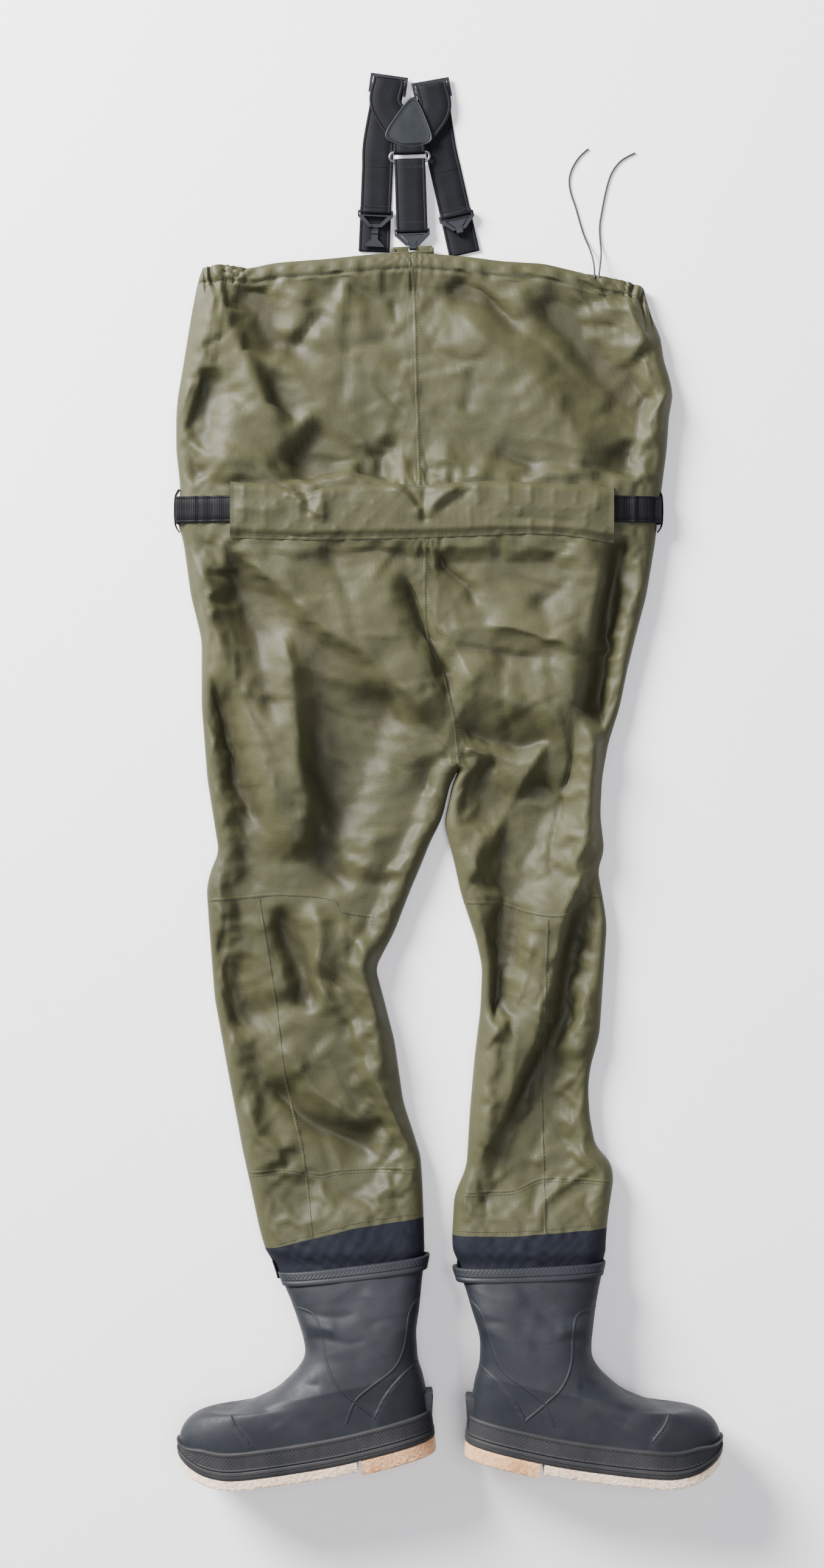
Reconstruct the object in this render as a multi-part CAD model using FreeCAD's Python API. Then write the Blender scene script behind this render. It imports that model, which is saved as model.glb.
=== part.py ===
import FreeCAD, Part
import math
import os

# Chest waders laid out flat, face down, millimetres.
# +X is the wearer's right, +Y runs from the boots to the suspenders, +Z is up.
# The floor is z = 0. The coated nylon is drawn thicker than it is, as stand-in walls.

os.makedirs("parts", exist_ok=True)
Vec = FreeCAD.Vector

# ---- driving dimensions -------------------------------------------------------------------
SHIFT_X = 3.2             # centres the layout on the frame's origin
SHIFT_Y = -6.7
WALL = 3.0                # garment wall
BODY_GAP = 0.3            # clearance between pieces that move apart
HIP_Y = -6.0              # fold line across both legs just below the crotch
KNEE_Y = -150.0           # fold line across both knees
WEBBING = 38.0            # suspender webbing width
WEB_T = 1.8               # suspender webbing thickness
BELT_W = 32.0             # belt webbing width
BELT_Y = 324.0            # belt centre line
HEM_H = 18.0              # height of the drawcord casing at the chest
CORD_D = 2.2              # drawcord diameter
CORD_DROP = 9.0           # the hidden drawcord lies this far below the top edge

# Flattened garment: y, left edge, right edge, floor height, arch of the lower layer, crown.
TORSO = [
    (645, -291, 236, 1.6, 6, 22),
    (600, -306, 247, 1.6, 7, 27),
    (540, -318, 264, 1.6, 9, 37),
    (475, -331, 274, 1.0, 12, 44),
    (375, -333, 266, 3.4, 15, 48),
    (270, -322, 250, 3.4, 15, 48),
    (170, -304, 230, 1.0, 8, 47),
    (80, -302, 208, 0.0, 4, 46),
    (HIP_Y, -300, 195, 0.0, 1.5, 45),
]
LEFT_LEG = [
    (HIP_Y, -300, 1, 0, 1, 45),
    (-57, -291, -10, 0, 1, 45),
    (-100, -288, -32, 0, 1, 45),
    (KNEE_Y, -297, -56, 0, 1, 44),
    (-230, -291, -89, 0, 1, 42),
    (-300, -280, -71, 0, 1, 41),
    (-345, -273, -60, 0, 1, 40),
    (-400, -262, -54, 0, 1, 40),
    (-450, -252, -50, 0, 1, 41),
    (-505, -241, -38, 0, 1, 43),
    (-540, -229, -30, 0, 1, 46),
    (-615, -206, -26, 0, 1, 56),
]
RIGHT_LEG = [
    (HIP_Y, 6, 195, 0, 1, 45),
    (-57, -5, 187, 0, 1, 45),
    (-100, 5, 191, 0, 1, 45),
    (KNEE_Y, 16, 196, 0, 1, 44),
    (-206, 37, 193, 0, 1, 42),
    (-240, 40, 190, 0, 1, 41),
    (-312, 34, 184, 0, 1, 40),
    (-376, 29, 171, 0, 1, 40),
    (-414, 25, 184, 0, 1, 41),
    (-485, 15, 202, 0, 1, 43),
    (-540, 5, 195, 0, 1, 46),
    (-615, 4, 190, 0, 1, 56),
]
HEM_ARC = [(-300, 606), (-44, 637), (250, 583)]      # top edge in plan
CENTRE_SEAM = [(-42, 700), (-38, 356), (-27, 202), (8, 12), (8, -60)]
# Slanted lines in plan: level at the left end, level at the right end (x, y).
LEFT_CUFF_TOP = [(-300, -484), (0, -471)]
LEFT_FABRIC_END = [(-300, -585), (0, -530)]
LEFT_BAND_END = [(-300, -609), (0, -574)]
RIGHT_CUFF_TOP = [(-20, -504), (230, -493)]
RIGHT_FABRIC_END = [(-20, -559), (230, -548)]
RIGHT_BAND_END = [(-20, -593), (230, -584)]

# Boot, in its own directions: a runs heel to toe, b up the shaft, z across the foot.
BOOT_WALL = 4.0
SHELL_FIT = 0.2           # seam between a boot's moulded layers
BOOT_SECTIONS = [         # b, heel side, toe side, lower side, upper side, end radius
    (8, -3, 291, 4, 96, 40),
    (52, -5, 292, 4, 96, 40),
    (68, -8, 286, 6, 94, 38),
    (80, -6, 262, 9, 91, 36),
    (92, -3, 176, 11, 88, 34),
    (113, -1, 146, 10, 84, 32),
    (142, -4, 132, 8, 79, 30),
    (175, -17, 134, 5, 70, 28),
    (255, -43, 142, 2, 60, 26),
]
SOLE_LINE = [(-8, 15), (110, 3), (228, -1), (270, 8), (300, 31)]   # top of the felt, heel to toe
OUTSOLE_T = 10.0
FOXING_TOP = 33.0         # height of the foxing above the sole line
FELT_T = 12.0
HEEL_T = 18.0
HEEL_END = 81.0
RIGHT_BOOT = (27.5, -812.6, -5.0)    # x, y and turn of the boot's directions
LEFT_BOOT = (-25.3, -806.7, 6.8)

# Suspenders
CLIP_Z = 7.8
EYE_IN = 1.9
EYE_OUT = 3.5
CENTRE_LINE = (-44.0, 646.0, 1.9)    # back loop bar, and turn of the centre strap
RING_Z = 4.7
RING_BAR_R = 1.6
RING_LEFT = (-74.0, 843.0, -8.0)
RING_RIGHT = (-20.0, 837.0, 10.0)
LEFT_FRONT = (-91.0, 643.5, -2.3)    # lower end of the left front strap, and its turn
RIGHT_FRONT = (19.0, 641.0, 12.6)
FRONT_LEN = 102.0

# Free ends of the drawcord, from the casing's edge down to the floor.
CORD_LEFT = [
    (177.5, 607.5, 17.0), (177.5, 619.0, 15.5), (176.0, 632.0, 9.5), (172.5, 645.5, 3.2),
    (165.5, 661.5, 1.2), (160.0, 679.5, 1.2), (155.5, 696.5, 1.2), (149.5, 712.5, 1.2),
    (147.0, 727.0, 1.2), (148.8, 739.5, 1.2), (155.0, 751.5, 1.2), (162.0, 761.0, 1.2),
    (171.0, 768.0, 1.2),
]
CORD_RIGHT = [
    (182.5, 606.0, 17.0), (183.5, 617.5, 15.5), (185.6, 630.0, 9.5), (186.6, 643.0, 3.2),
    (185.0, 658.0, 1.2), (184.4, 674.0, 1.2), (187.0, 689.5, 1.2), (190.0, 706.0, 1.2),
    (193.6, 722.0, 1.2), (198.0, 736.5, 1.2), (205.5, 748.5, 1.2), (215.5, 757.5, 1.2),
    (228.0, 763.0, 1.2),
]

FAR = 2000.0
TOP = 150.0


# ---- general helpers ----------------------------------------------------------------------
def save(name, shape):
    shape = shape.copy()
    shape.translate(Vec(SHIFT_X, SHIFT_Y, 0))
    shape = shape.removeSplitter() if len(shape.Solids) > 1 else shape
    shape.exportStep("parts/" + name + ".step")


def box(x0, x1, y0, y1, z0, z1):
    return Part.makeBox(x1 - x0, y1 - y0, z1 - z0, Vec(x0, y0, z0))


def prism(points, z0=-20.0, z1=TOP):
    """Upright prism over a polygon given in plan."""
    corners = [Vec(x, y, z0) for x, y in points]
    face = Part.Face(Part.makePolygon(corners + corners[:1]))
    return face.extrude(Vec(0, 0, z1 - z0))


def rod_x(x0, x1, y, z, radius):
    return Part.makeCylinder(radius, x1 - x0, Vec(x0, y, z), Vec(1, 0, 0))


def place(shape, where):
    """Turn about Z and move to a place (x, y, degrees)."""
    x, y, turn = where
    moved = shape.copy()
    moved.rotate(Vec(0, 0, 0), Vec(0, 0, 1), turn)
    moved.translate(Vec(x, y, 0))
    return moved


def join(shapes):
    solid = shapes[0].multiFuse(shapes[1:]) if len(shapes) > 1 else shapes[0]
    return solid.removeSplitter()


def below_line(line, drop=0.0):
    """Region in plan on the boot side of a slanted line."""
    (x0, y0), (x1, y1) = line
    slope = (y1 - y0) / (x1 - x0)
    reach = 600.0
    left = (x0 - reach, y0 - slope * reach - drop)
    right = (x1 + reach, y1 + slope * reach - drop)
    return prism([left, right, (right[0], -FAR), (left[0], -FAR)])


def ribbon(points, width, z0, z1):
    """Flat webbing along a route in plan, with mitred corners."""
    left, right = [], []
    for i, (x, y) in enumerate(points):
        ahead = points[min(i + 1, len(points) - 1)]
        behind = points[max(i - 1, 0)]
        into = math.atan2(y - behind[1], x - behind[0]) if i > 0 else None
        out = math.atan2(ahead[1] - y, ahead[0] - x) if i < len(points) - 1 else None
        into = out if into is None else into
        out = into if out is None else out
        mid = (into + out) / 2
        reach = width / 2 / math.cos((out - into) / 2)
        left.append((x - reach * math.sin(mid), y + reach * math.cos(mid)))
        right.append((x + reach * math.sin(mid), y - reach * math.cos(mid)))
    return prism(left + right[::-1], z0, z1)


# ---- flattened garment sleeves ------------------------------------------------------------
def station(table, y):
    """Section values at a height, straight between the table's stations."""
    for high, low in zip(table, table[1:]):
        if low[0] <= y <= high[0]:
            part = (high[0] - y) / (high[0] - low[0])
            return tuple(h + part * (l - h) for h, l in zip(high, low))
    raise ValueError(y)


def layer_points(values, offset, upper):
    """Corner and mid points of one layer's curve: seam, roll, crown or arch, roll, seam."""
    y, left, right, floor, arch, crown = values
    depth = crown - floor
    roll = 0.45 * depth
    seam = floor + 0.40 * depth
    left, right = left - offset, right + offset
    middle = (left + right) / 2
    if upper:
        edge, peak = floor + 0.78 * depth + offset, crown + offset
    else:
        edge, peak = floor - offset, arch - offset
    bulge = seam + 0.65 * (edge - seam)
    return [Vec(left, y, seam), Vec(left + 0.3 * roll, y, bulge), Vec(left + roll, y, edge),
            Vec(middle, y, peak),
            Vec(right - roll, y, edge), Vec(right - 0.3 * roll, y, bulge), Vec(right, y, seam)]


def layer_edges(points):
    arcs = [(0, 1, 2), (2, 3, 4), (4, 5, 6)]
    return [Part.Arc(points[a], points[b], points[c]).toShape() for a, b, c in arcs]


def layer(table, y_high, y_low, upper, outside, inside):
    """Upper or lower half of a sleeve's wall between two heights."""
    heights = [y_high] + [row[0] for row in table if y_low < row[0] < y_high] + [y_low]
    wires = []
    for y in heights:
        values = station(table, y)
        outer = layer_points(values, outside, upper)
        inner = layer_points(values, inside, upper)
        edges = layer_edges(outer)
        edges.append(Part.makeLine(outer[-1], inner[-1]))
        edges += layer_edges(inner[::-1])
        edges.append(Part.makeLine(inner[0], outer[0]))
        wires.append(Part.Wire(edges))
    return Part.makeLoft(wires, True, True)


def sleeve(table, y_high, y_low, outside, inside):
    halves = [layer(table, y_high, y_low, upper, outside, inside) for upper in (True, False)]
    return join(halves)


def hem_region(drop):
    """Everything below the chest's top edge, lowered by a distance."""
    left, middle, right = [Vec(x, y - drop, -20) for x, y in HEM_ARC]
    arc = Part.Arc(left, middle, right).toShape()
    slope_left = Vec(-FAR, left.y - 600, -20)
    slope_right = Vec(FAR, right.y - 900, -20)
    corners = [right, slope_right, Vec(FAR, -FAR, -20), Vec(-FAR, -FAR, -20), slope_left, left]
    outline = Part.Wire([arc] + [Part.makeLine(a, b) for a, b in zip(corners, corners[1:])])
    return Part.Face(outline).extrude(Vec(0, 0, TOP))


def make_torso():
    top = TORSO[0][0]
    bottom = HIP_Y + BODY_GAP / 2
    shell_region = hem_region(HEM_H)
    left_side = prism(CENTRE_SEAM + [(-FAR, -60), (-FAR, 700)])
    back = layer(TORSO, top, bottom, True, 0, -WALL).common(shell_region)
    save("back_panel_left", back.common(left_side))
    save("back_panel_right", back.cut(left_side))
    save("front_panel", layer(TORSO, top, bottom, False, 0, -WALL).common(shell_region))

    band = hem_region(0).cut(shell_region)
    channel_region = hem_region(CORD_DROP - 1.5).cut(hem_region(CORD_DROP + 1.5))
    cord_region = hem_region(CORD_DROP - 1.1).cut(hem_region(CORD_DROP + 1.1))
    casing = sleeve(TORSO, top, 560, 1.5, -WALL).common(band)
    channel = sleeve(TORSO, top, 560, 0.7, -2.3).common(channel_region)
    save("chest_hem", casing.cut(channel))
    save("hidden_drawcord", sleeve(TORSO, top, 560, 0.3, -1.9).common(cord_region))


def make_leg(side, table, cuff_top, fabric_end, band_end):
    knee_above = KNEE_Y + BODY_GAP / 2
    knee_below = KNEE_Y - BODY_GAP / 2
    low = table[-1][0]
    fabric = below_line(fabric_end)
    for part, upper in (("back", True), ("front", False)):
        thigh = layer(table, HIP_Y - BODY_GAP / 2, knee_above, upper, 0, -WALL)
        save(side + "_thigh_" + part, thigh)
        shin = layer(table, knee_below, low, upper, 0, -WALL).cut(fabric)
        save(side + "_shin_" + part, shin)
    patch = layer(table, -440, low, True, 1.6, 0.2)
    save(side + "_cuff_patch", patch.common(below_line(cuff_top)).cut(fabric))
    band = sleeve(table, -500, low, 0, -3.5)
    save(side + "_ankle_band", band.common(fabric).cut(below_line(band_end)))


# ---- belt ---------------------------------------------------------------------------------
BUCKLE_X = -30.0
BUCKLE_SPLIT = -18.0      # socket to the left, tongue to the right


def make_belt():
    back_low, back_high = BELT_Y - BELT_W / 2, BELT_Y + BELT_W / 2
    flat_torso = [row[:4] + (row[3] + 2.2,) + row[5:] for row in TORSO]
    upper = layer(TORSO, back_high, back_low, True, 3.0, 0.7)
    lower = layer(flat_torso, back_high, back_low, False, 3.0, 0.7)
    gap = box(BUCKLE_X - 36, 6, back_low - 5, back_high + 5, -5, 20)
    save("belt_webbing", join([upper, lower.cut(gap)]))

    sleeve_low, sleeve_high = 288.0, 357.0
    outer = layer(TORSO, sleeve_high, sleeve_low, True, 5.2, 0.2)
    inner = layer(TORSO, back_high + 1.5, back_low - 1.5, True, 3.8, 0.0)
    reach = box(-263, 202, sleeve_low - 5, sleeve_high + 5, 30, 80)
    save("belt_tunnel", outer.cut(inner).common(reach))

    half = BELT_W / 2
    socket = box(BUCKLE_X - 42, BUCKLE_SPLIT, BELT_Y - half - 4, BELT_Y + half + 4, 0, 9.6)
    cavity = box(BUCKLE_SPLIT - 24, BUCKLE_SPLIT + 1, BELT_Y - 14, BELT_Y + 14, 4.6, 8.3)
    slot = box(BUCKLE_X - 50, BUCKLE_X - 33, BELT_Y - half - 0.6, BELT_Y + half + 0.6, 1.4, 5.6)
    window = box(BUCKLE_SPLIT - 20, BUCKLE_SPLIT - 8, BELT_Y - half - 6, BELT_Y + half + 6, 5.2, 7.8)
    side_release = window.common(box(-FAR, FAR, BELT_Y + 13, BELT_Y + 30, 0, 20))
    other_release = window.common(box(-FAR, FAR, BELT_Y - 30, BELT_Y - 13, 0, 20))
    save("buckle_socket", socket.cut(cavity).cut(slot).cut(side_release).cut(other_release))

    prong_len = 21.0
    prongs = [box(BUCKLE_SPLIT - prong_len, BUCKLE_SPLIT + 2, BELT_Y + y - 3, BELT_Y + y + 3, 4.9, 8.0)
              for y in (-10.5, 0, 10.5)]
    plate = box(BUCKLE_SPLIT + BODY_GAP, BUCKLE_SPLIT + 12, BELT_Y - half - 2, BELT_Y + half + 2, 4.9, 9.4)
    loop = box(8, 21, BELT_Y - half - 4, BELT_Y + half + 4, 0, 9.4)
    loop = loop.cut(box(5, 25, BELT_Y - half - 0.6, BELT_Y + half + 0.6, 1.4, 5.8))
    rails = [box(BUCKLE_SPLIT + 2, 14, BELT_Y + y - 1.6, BELT_Y + y + 1.6, 4.9, 9.4)
             for y in (-half - 2, half + 2)]
    save("buckle_tongue", join(prongs + [plate, loop] + rails))


# ---- loops at the chest -------------------------------------------------------------------
def loop_tab(length, root_z):
    """Sewn tab off the hem, with a window and a narrow bar on the local X axis at its end."""
    tab = box(-24, 24, -length, 1.2, CLIP_Z - 0.8, CLIP_Z + 0.8)
    window = box(-4.8, 4.8, 1.6 - length, -1.2, 0, 30)
    root = box(-24, 24, -length, 1.6 - length, CLIP_Z - 0.8, root_z)
    return join([tab.cut(window), root])


def make_loops():
    save("back_loop", place(loop_tab(8.2, 18.0), CENTRE_LINE))
    tabs = []
    for x in (-165.0, 95.0):
        tab = box(x - 22, x + 22, 588, 612, 0.3, 2.3)
        window = box(x - 15, x + 15, 592, 598, 0, 5)
        tabs.append(tab.cut(window))
    save("front_loops", Part.makeCompound(tabs))


# ---- suspenders ---------------------------------------------------------------------------
def half_ring(inner, outer, width, upper):
    """Half annulus about the local X axis."""
    ring = rod_x(-width / 2, width / 2, 0, 0, outer).cut(rod_x(-width, width, 0, 0, inner))
    keep = box(-FAR, FAR, -50, 50, 0.15, 50) if upper else box(-FAR, FAR, -50, 50, -50, -0.15)
    return ring.common(keep)


def clip_frame():
    """Moulded frame with a triangular window, about its eye at the local origin."""
    outline = [(-21.5, 22.4), (21.5, 22.4), (21.5, 15.2), (8, 2.2), (-8, 2.2), (-21.5, 15.2)]
    plate = prism(outline, -1.7, 1.7)
    window = prism([(-14.5, 15.2), (14.5, 15.2), (4.6, 4.4), (4.6, -5), (-4.6, -5), (-4.6, 4.4)], -5, 5)
    slot = box(-19.4, 19.4, 17.0, 30, -5, 5)
    bar = rod_x(-20, 20, 21, 0, 1.4)
    stub = box(-8, 8, 2.3, 6, -1.7, -0.2)
    return join([plate.cut(window).cut(slot), bar, stub, half_ring(EYE_IN, EYE_OUT, 8, False)])


def clip_hook():
    """Bent neck and arrowhead that close the eye over a loop."""
    neck = box(-4, 4, 2.3, 7.5, 0.15, 1.7)
    arrow = prism([(-13.0, 14.6), (13.0, 14.6), (4.0, 5.4), (-4.0, 5.4)], 0.15, 1.7)
    arrow_core = prism([(-13.0, 14.6), (13.0, 14.6), (5.6, 7.0), (-5.6, 7.0)], -1.1, 1.7)
    return join([half_ring(EYE_IN, EYE_OUT, 8, True), neck, arrow, arrow_core])


def at_clip_height(shape):
    raised = shape.copy()
    raised.translate(Vec(0, 0, CLIP_Z))
    return raised


def racetrack(y0, y1, width, inner):
    """Closed webbing loop around two parallel bars on the local X axis."""
    def slab(radius, span):
        ends = [rod_x(-span / 2, span / 2, y, 0, radius) for y in (y0, y1)]
        return join(ends + [box(-span / 2, span / 2, y0, y1, -radius, radius)])
    return slab(inner + WEB_T, width).cut(slab(inner, width + 10))


RING_HALF = 6.0           # half height of the oval yoke ring
YOKE_RING_Y = 111.0       # ring centre above the back loop's bar
CLIP_BAR_Y = 21.0


def make_centre_line():
    ring_bar = YOKE_RING_Y - RING_HALF
    strap = at_clip_height(racetrack(CLIP_BAR_Y, ring_bar, WEBBING, 1.9))
    save("centre_strap", place(strap, CENTRE_LINE))
    save("centre_clip_frame", place(at_clip_height(clip_frame()), CENTRE_LINE))
    save("centre_clip_hook", place(at_clip_height(clip_hook()), CENTRE_LINE))

    straight = 18.2
    rods = [rod_x(-straight, straight, YOKE_RING_Y + s * RING_HALF, 0, 1.6) for s in (-1, 1)]
    ends = []
    for s in (-1, 1):
        torus = Part.makeTorus(RING_HALF, 1.6, Vec(s * straight, YOKE_RING_Y, 0), Vec(0, 0, 1))
        half = box(min(0, s * FAR) + s * straight, max(0, s * FAR) + s * straight, 0, FAR, -5, 5)
        ends.append(torus.common(half))
    save("yoke_ring", place(at_clip_height(join(rods + ends)), CENTRE_LINE))
    top_bar = YOKE_RING_Y + RING_HALF
    loop = at_clip_height(racetrack(top_bar, top_bar + 16, WEBBING, 1.9))
    loop = loop.cut(box(-FAR, FAR, top_bar + 12, FAR, -5, 30))
    return place(loop, CENTRE_LINE)


def ring_point(where, along):
    """Point in plan at a distance up a strap's own direction."""
    x, y, turn = where
    angle = math.radians(turn)
    return (x - along * math.sin(angle), y + along * math.cos(angle))


def ring_fold():
    """Webbing bent round the ring's bar, in the ring's own directions."""
    ring = rod_x(-WEBBING / 2, WEBBING / 2, 0, RING_Z, RING_Z)
    ring = ring.cut(rod_x(-30, 30, 0, RING_Z, RING_Z - WEB_T))
    return ring.common(box(-30, 30, 0, 30, -5, 30))


def make_shoulder(side, ring_place, front_place, upper_end):
    start = [ring_point(ring_place, 0.01), ring_point(ring_place, -9)]
    upper_route = start + [upper_end]
    lower_route = start + [ring_point(front_place, FRONT_LEN), ring_point(front_place, FRONT_LEN - 20)]
    top0, top1 = 2 * RING_Z - WEB_T, 2 * RING_Z
    upper = ribbon(upper_route, WEBBING, top0, top1)
    lower = ribbon(lower_route, WEBBING, 0, WEB_T)
    lower = lower.cut(place(box(-40, 40, -FAR, FRONT_LEN, -1, WEB_T + 1), front_place))
    strap = join([place(ring_fold(), ring_place), upper, lower])
    top_y = 14.0
    legs = [box(s * 21.4 - 1.6, s * 21.4 + 1.6, -9, top_y, RING_Z - 1.6, RING_Z + 1.6) for s in (-1, 1)]
    bar = box(-23, 23, top_y - 3.6, top_y, RING_Z - 1.6, RING_Z + 1.6)
    ring = join(legs + [bar, rod_x(-22, 22, 0, RING_Z, RING_BAR_R)])
    save(side + "_strap_ring", place(ring, ring_place))
    return strap


def make_front_strap(side, where, hook_open):
    """Webbing with a folded lower end, which holds a clip lying back over it."""
    top_layer0 = WEB_T + BODY_GAP
    fold_in = CLIP_Z - top_layer0 - WEB_T
    bar_y = 46.0
    half = WEBBING / 2
    eye_y = bar_y - CLIP_BAR_Y
    lower = box(-half, half, 0, FRONT_LEN - BODY_GAP, 0, WEB_T)
    end = box(-half, half, -1.6, 0, 0, top_layer0 + WEB_T)
    upper = box(-half, half, 0, bar_y, top_layer0, top_layer0 + WEB_T)
    curl = rod_x(-half, half, bar_y, CLIP_Z, fold_in + WEB_T).cut(rod_x(-30, 30, bar_y, CLIP_Z, fold_in))
    curl = curl.common(box(-30, 30, bar_y, bar_y + 20, -5, 40))
    save(side + "_front_strap", place(join([lower, end, upper, curl]), where))
    frame = at_clip_height(clip_frame())
    hook = clip_hook()
    if hook_open:
        hook.rotate(Vec(0, -EYE_OUT, 0), Vec(1, 0, 0), 180)
    hook = at_clip_height(hook)
    for shape in (frame, hook):
        shape.translate(Vec(0, eye_y, 0))
    save(side + "_clip_frame", place(frame, where))
    save(side + "_clip_hook", place(hook, where))


def make_suspenders():
    loop = make_centre_line()
    left = make_shoulder("left", RING_LEFT, LEFT_FRONT, (-57, 788))
    right = make_shoulder("right", RING_RIGHT, RIGHT_FRONT, (-34, 788))
    right = right.cut(left)
    save("left_shoulder_strap", left)
    save("right_shoulder_strap", right)
    save("yoke_loop_strap", loop.cut(left).cut(right))
    patch = prism([(-48, 829), (-38, 829), (-18, 780), (-23, 772), (-46, 766), (-73, 774), (-80, 784)],
                  RING_Z + RING_BAR_R + 0.6, CLIP_Z + 4.0)
    save("yoke_patch", patch.cut(left).cut(right).cut(loop))
    make_front_strap("left", LEFT_FRONT, True)
    make_front_strap("right", RIGHT_FRONT, False)


# ---- boots --------------------------------------------------------------------------------
def boot_skin(offset):
    """Outside of the boot grown by an offset, as a loft up the shaft."""
    wires = []
    for b, heel, toe, low, high, radius in BOOT_SECTIONS:
        a0, a1, z0, z1 = heel - offset, toe + offset, low - offset, high + offset
        middle = (z0 + z1) / 2
        reach = min(radius + offset, (z1 - z0) / 2)
        heel_arc = Part.Arc(Vec(a0 + reach, b, z0), Vec(a0, b, middle), Vec(a0 + reach, b, z1))
        toe_arc = Part.Arc(Vec(a1 - reach, b, z1), Vec(a1, b, middle), Vec(a1 - reach, b, z0))
        wires.append(Part.Wire([
            heel_arc.toShape(), Part.makeLine(Vec(a0 + reach, b, z1), Vec(a1 - reach, b, z1)),
            toe_arc.toShape(), Part.makeLine(Vec(a1 - reach, b, z0), Vec(a0 + reach, b, z0))]))
    return Part.makeLoft(wires, True, True)


def profile(points):
    """Region in the boot's side view, across its whole width."""
    return prism(points, -5, 110)


def sole_band(low, high, a0=-30.0, a1=330.0):
    """Band between two heights above the sole line."""
    line = [(-30, SOLE_LINE[0][1])] + SOLE_LINE + [(330, 62)]
    lower = [(a, b + low) for a, b in line]
    upper = [(a, b + high) for a, b in line]
    band = profile(lower + upper[::-1])
    return band.common(box(a0, a1, -100, 300, -10, 120))


def make_boot(side, where, band_end, mirrored):
    outer = boot_skin(0)
    footprint = boot_skin(3.6).common(box(-50, 350, 8, 52, -10, 120))
    slab = footprint.common(box(-50, 350, 20, 30, -10, 120))
    plan = Part.Face(slab.slice(Vec(0, 1, 0), 25.0)[0])
    plan.translate(Vec(0, -75, 0))
    column = plan.extrude(Vec(0, 150, 0))

    def finish(shape):
        if mirrored:
            shape = shape.mirror(Vec(0, 0, 0), Vec(1, 0, 0))
        return place(shape, where)

    def keep(name, shape):
        save(side + "_" + name, finish(shape))

    shaft_end = below_line(band_end, BODY_GAP)

    inside = boot_skin(-BOOT_WALL)
    ring = outer.cut(inside)
    above_sole = profile([(a, b + OUTSOLE_T + SHELL_FIT) for a, b in
                          [(-60, 15)] + SOLE_LINE + [(400, 110)]] + [(400, 400), (-60, 400)])
    upper = finish(ring.common(above_sole)).common(shaft_end)
    save(side + "_boot_upper", upper)

    binding_low = 16.0
    binding = boot_skin(1.8).cut(boot_skin(SHELL_FIT)).common(box(-100, 300, 150, 300, -10, 120))
    binding = finish(binding).common(shaft_end).cut(below_line(band_end, BODY_GAP + binding_low))
    save(side + "_boot_binding", binding)

    foxing_ring = column.cut(boot_skin(SHELL_FIT))
    keep("foxing", foxing_ring.common(sole_band(OUTSOLE_T + SHELL_FIT, FOXING_TOP)))
    keep("outsole", column.common(sole_band(0, OUTSOLE_T)))
    keep("felt_sole", column.common(sole_band(-FELT_T, -SHELL_FIT, HEEL_END + 3, 330)))
    keep("felt_heel", column.common(sole_band(-HEEL_T, -SHELL_FIT, -60, HEEL_END)))
    insole_region = sole_band(OUTSOLE_T + SHELL_FIT, OUTSOLE_T + 5)
    keep("insole", boot_skin(-BOOT_WALL - 0.4).common(insole_region))

    above_foxing = profile([(a, b + FOXING_TOP + SHELL_FIT) for a, b in
                            [(-60, 15)] + SOLE_LINE + [(400, 110)]] + [(400, 400), (-60, 400)])
    cap = boot_skin(3.0).cut(boot_skin(SHELL_FIT)).common(above_foxing)
    keep("toe_cap", cap.common(profile([(216, 0), (238, 110), (400, 110), (400, 0)])))
    counter = cap.common(profile([(-60, 0), (-60, 96), (0, 96), (30, 80), (52, 62), (70, 30), (70, 0)]))
    spur = box(-15, -3, 30, 66, 34, 66).cut(boot_skin(SHELL_FIT)).cut(column)
    keep("heel_counter", join([counter, spur]))


# ---- free drawcord ends -------------------------------------------------------------------
def cord(name, points, diameter):
    """Round cord along straight runs joined by tangent arcs."""
    stops = [Vec(*p) for p in points]
    edges = []
    start = stops[0]
    radii = []
    for before, corner, after in zip(stops, stops[1:], stops[2:]):
        into = (corner - before).normalize()
        out = (after - corner).normalize()
        turn = into.getAngle(out)
        shorter = min((corner - before).Length, (after - corner).Length)
        cut_back = 0.45 * shorter
        radii.append(cut_back / math.tan(turn / 2))
        first = corner - into * cut_back
        last = corner + out * cut_back
        bisector = (out - into).normalize()
        height = radii[-1] / math.cos(turn / 2) - radii[-1]
        edges.append(Part.makeLine(start, first))
        edges.append(Part.Arc(first, corner + bisector * height, last).toShape())
        start = last
    edges.append(Part.makeLine(start, stops[-1]))
    path = Part.Wire(edges)
    direction = (stops[1] - stops[0]).normalize()
    ring = Part.Wire(Part.makeCircle(diameter / 2, stops[0], direction))
    tube = path.makePipeShell([ring], True, False)
    save(name, tube)
    expected = math.pi * (diameter / 2) ** 2 * path.Length
    print(name, "length", round(path.Length, 1), "volume ratio", round(tube.Volume / expected, 4))
    print(name, "radii", [round(r, 1) for r in radii])


make_torso()
make_leg("left", LEFT_LEG, LEFT_CUFF_TOP, LEFT_FABRIC_END, LEFT_BAND_END)
make_leg("right", RIGHT_LEG, RIGHT_CUFF_TOP, RIGHT_FABRIC_END, RIGHT_BAND_END)
make_belt()
make_loops()
make_suspenders()
make_boot("left", LEFT_BOOT, LEFT_BAND_END, True)
make_boot("right", RIGHT_BOOT, RIGHT_BAND_END, False)
cord("drawcord_end_left", CORD_LEFT, CORD_D)
cord("drawcord_end_right", CORD_RIGHT, CORD_D)
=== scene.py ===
"""Looks of the chest waders: crumpled coated nylon, rubber boots, webbing, clips and drawcord.

They lie face down on a pale floor: +X is the wearer's right, +Y runs from the boots to the suspenders, and
+Z is up.
Lengths are in millimetres until a mesh is made, where MM turns them into metres.
"""
import math

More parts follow.
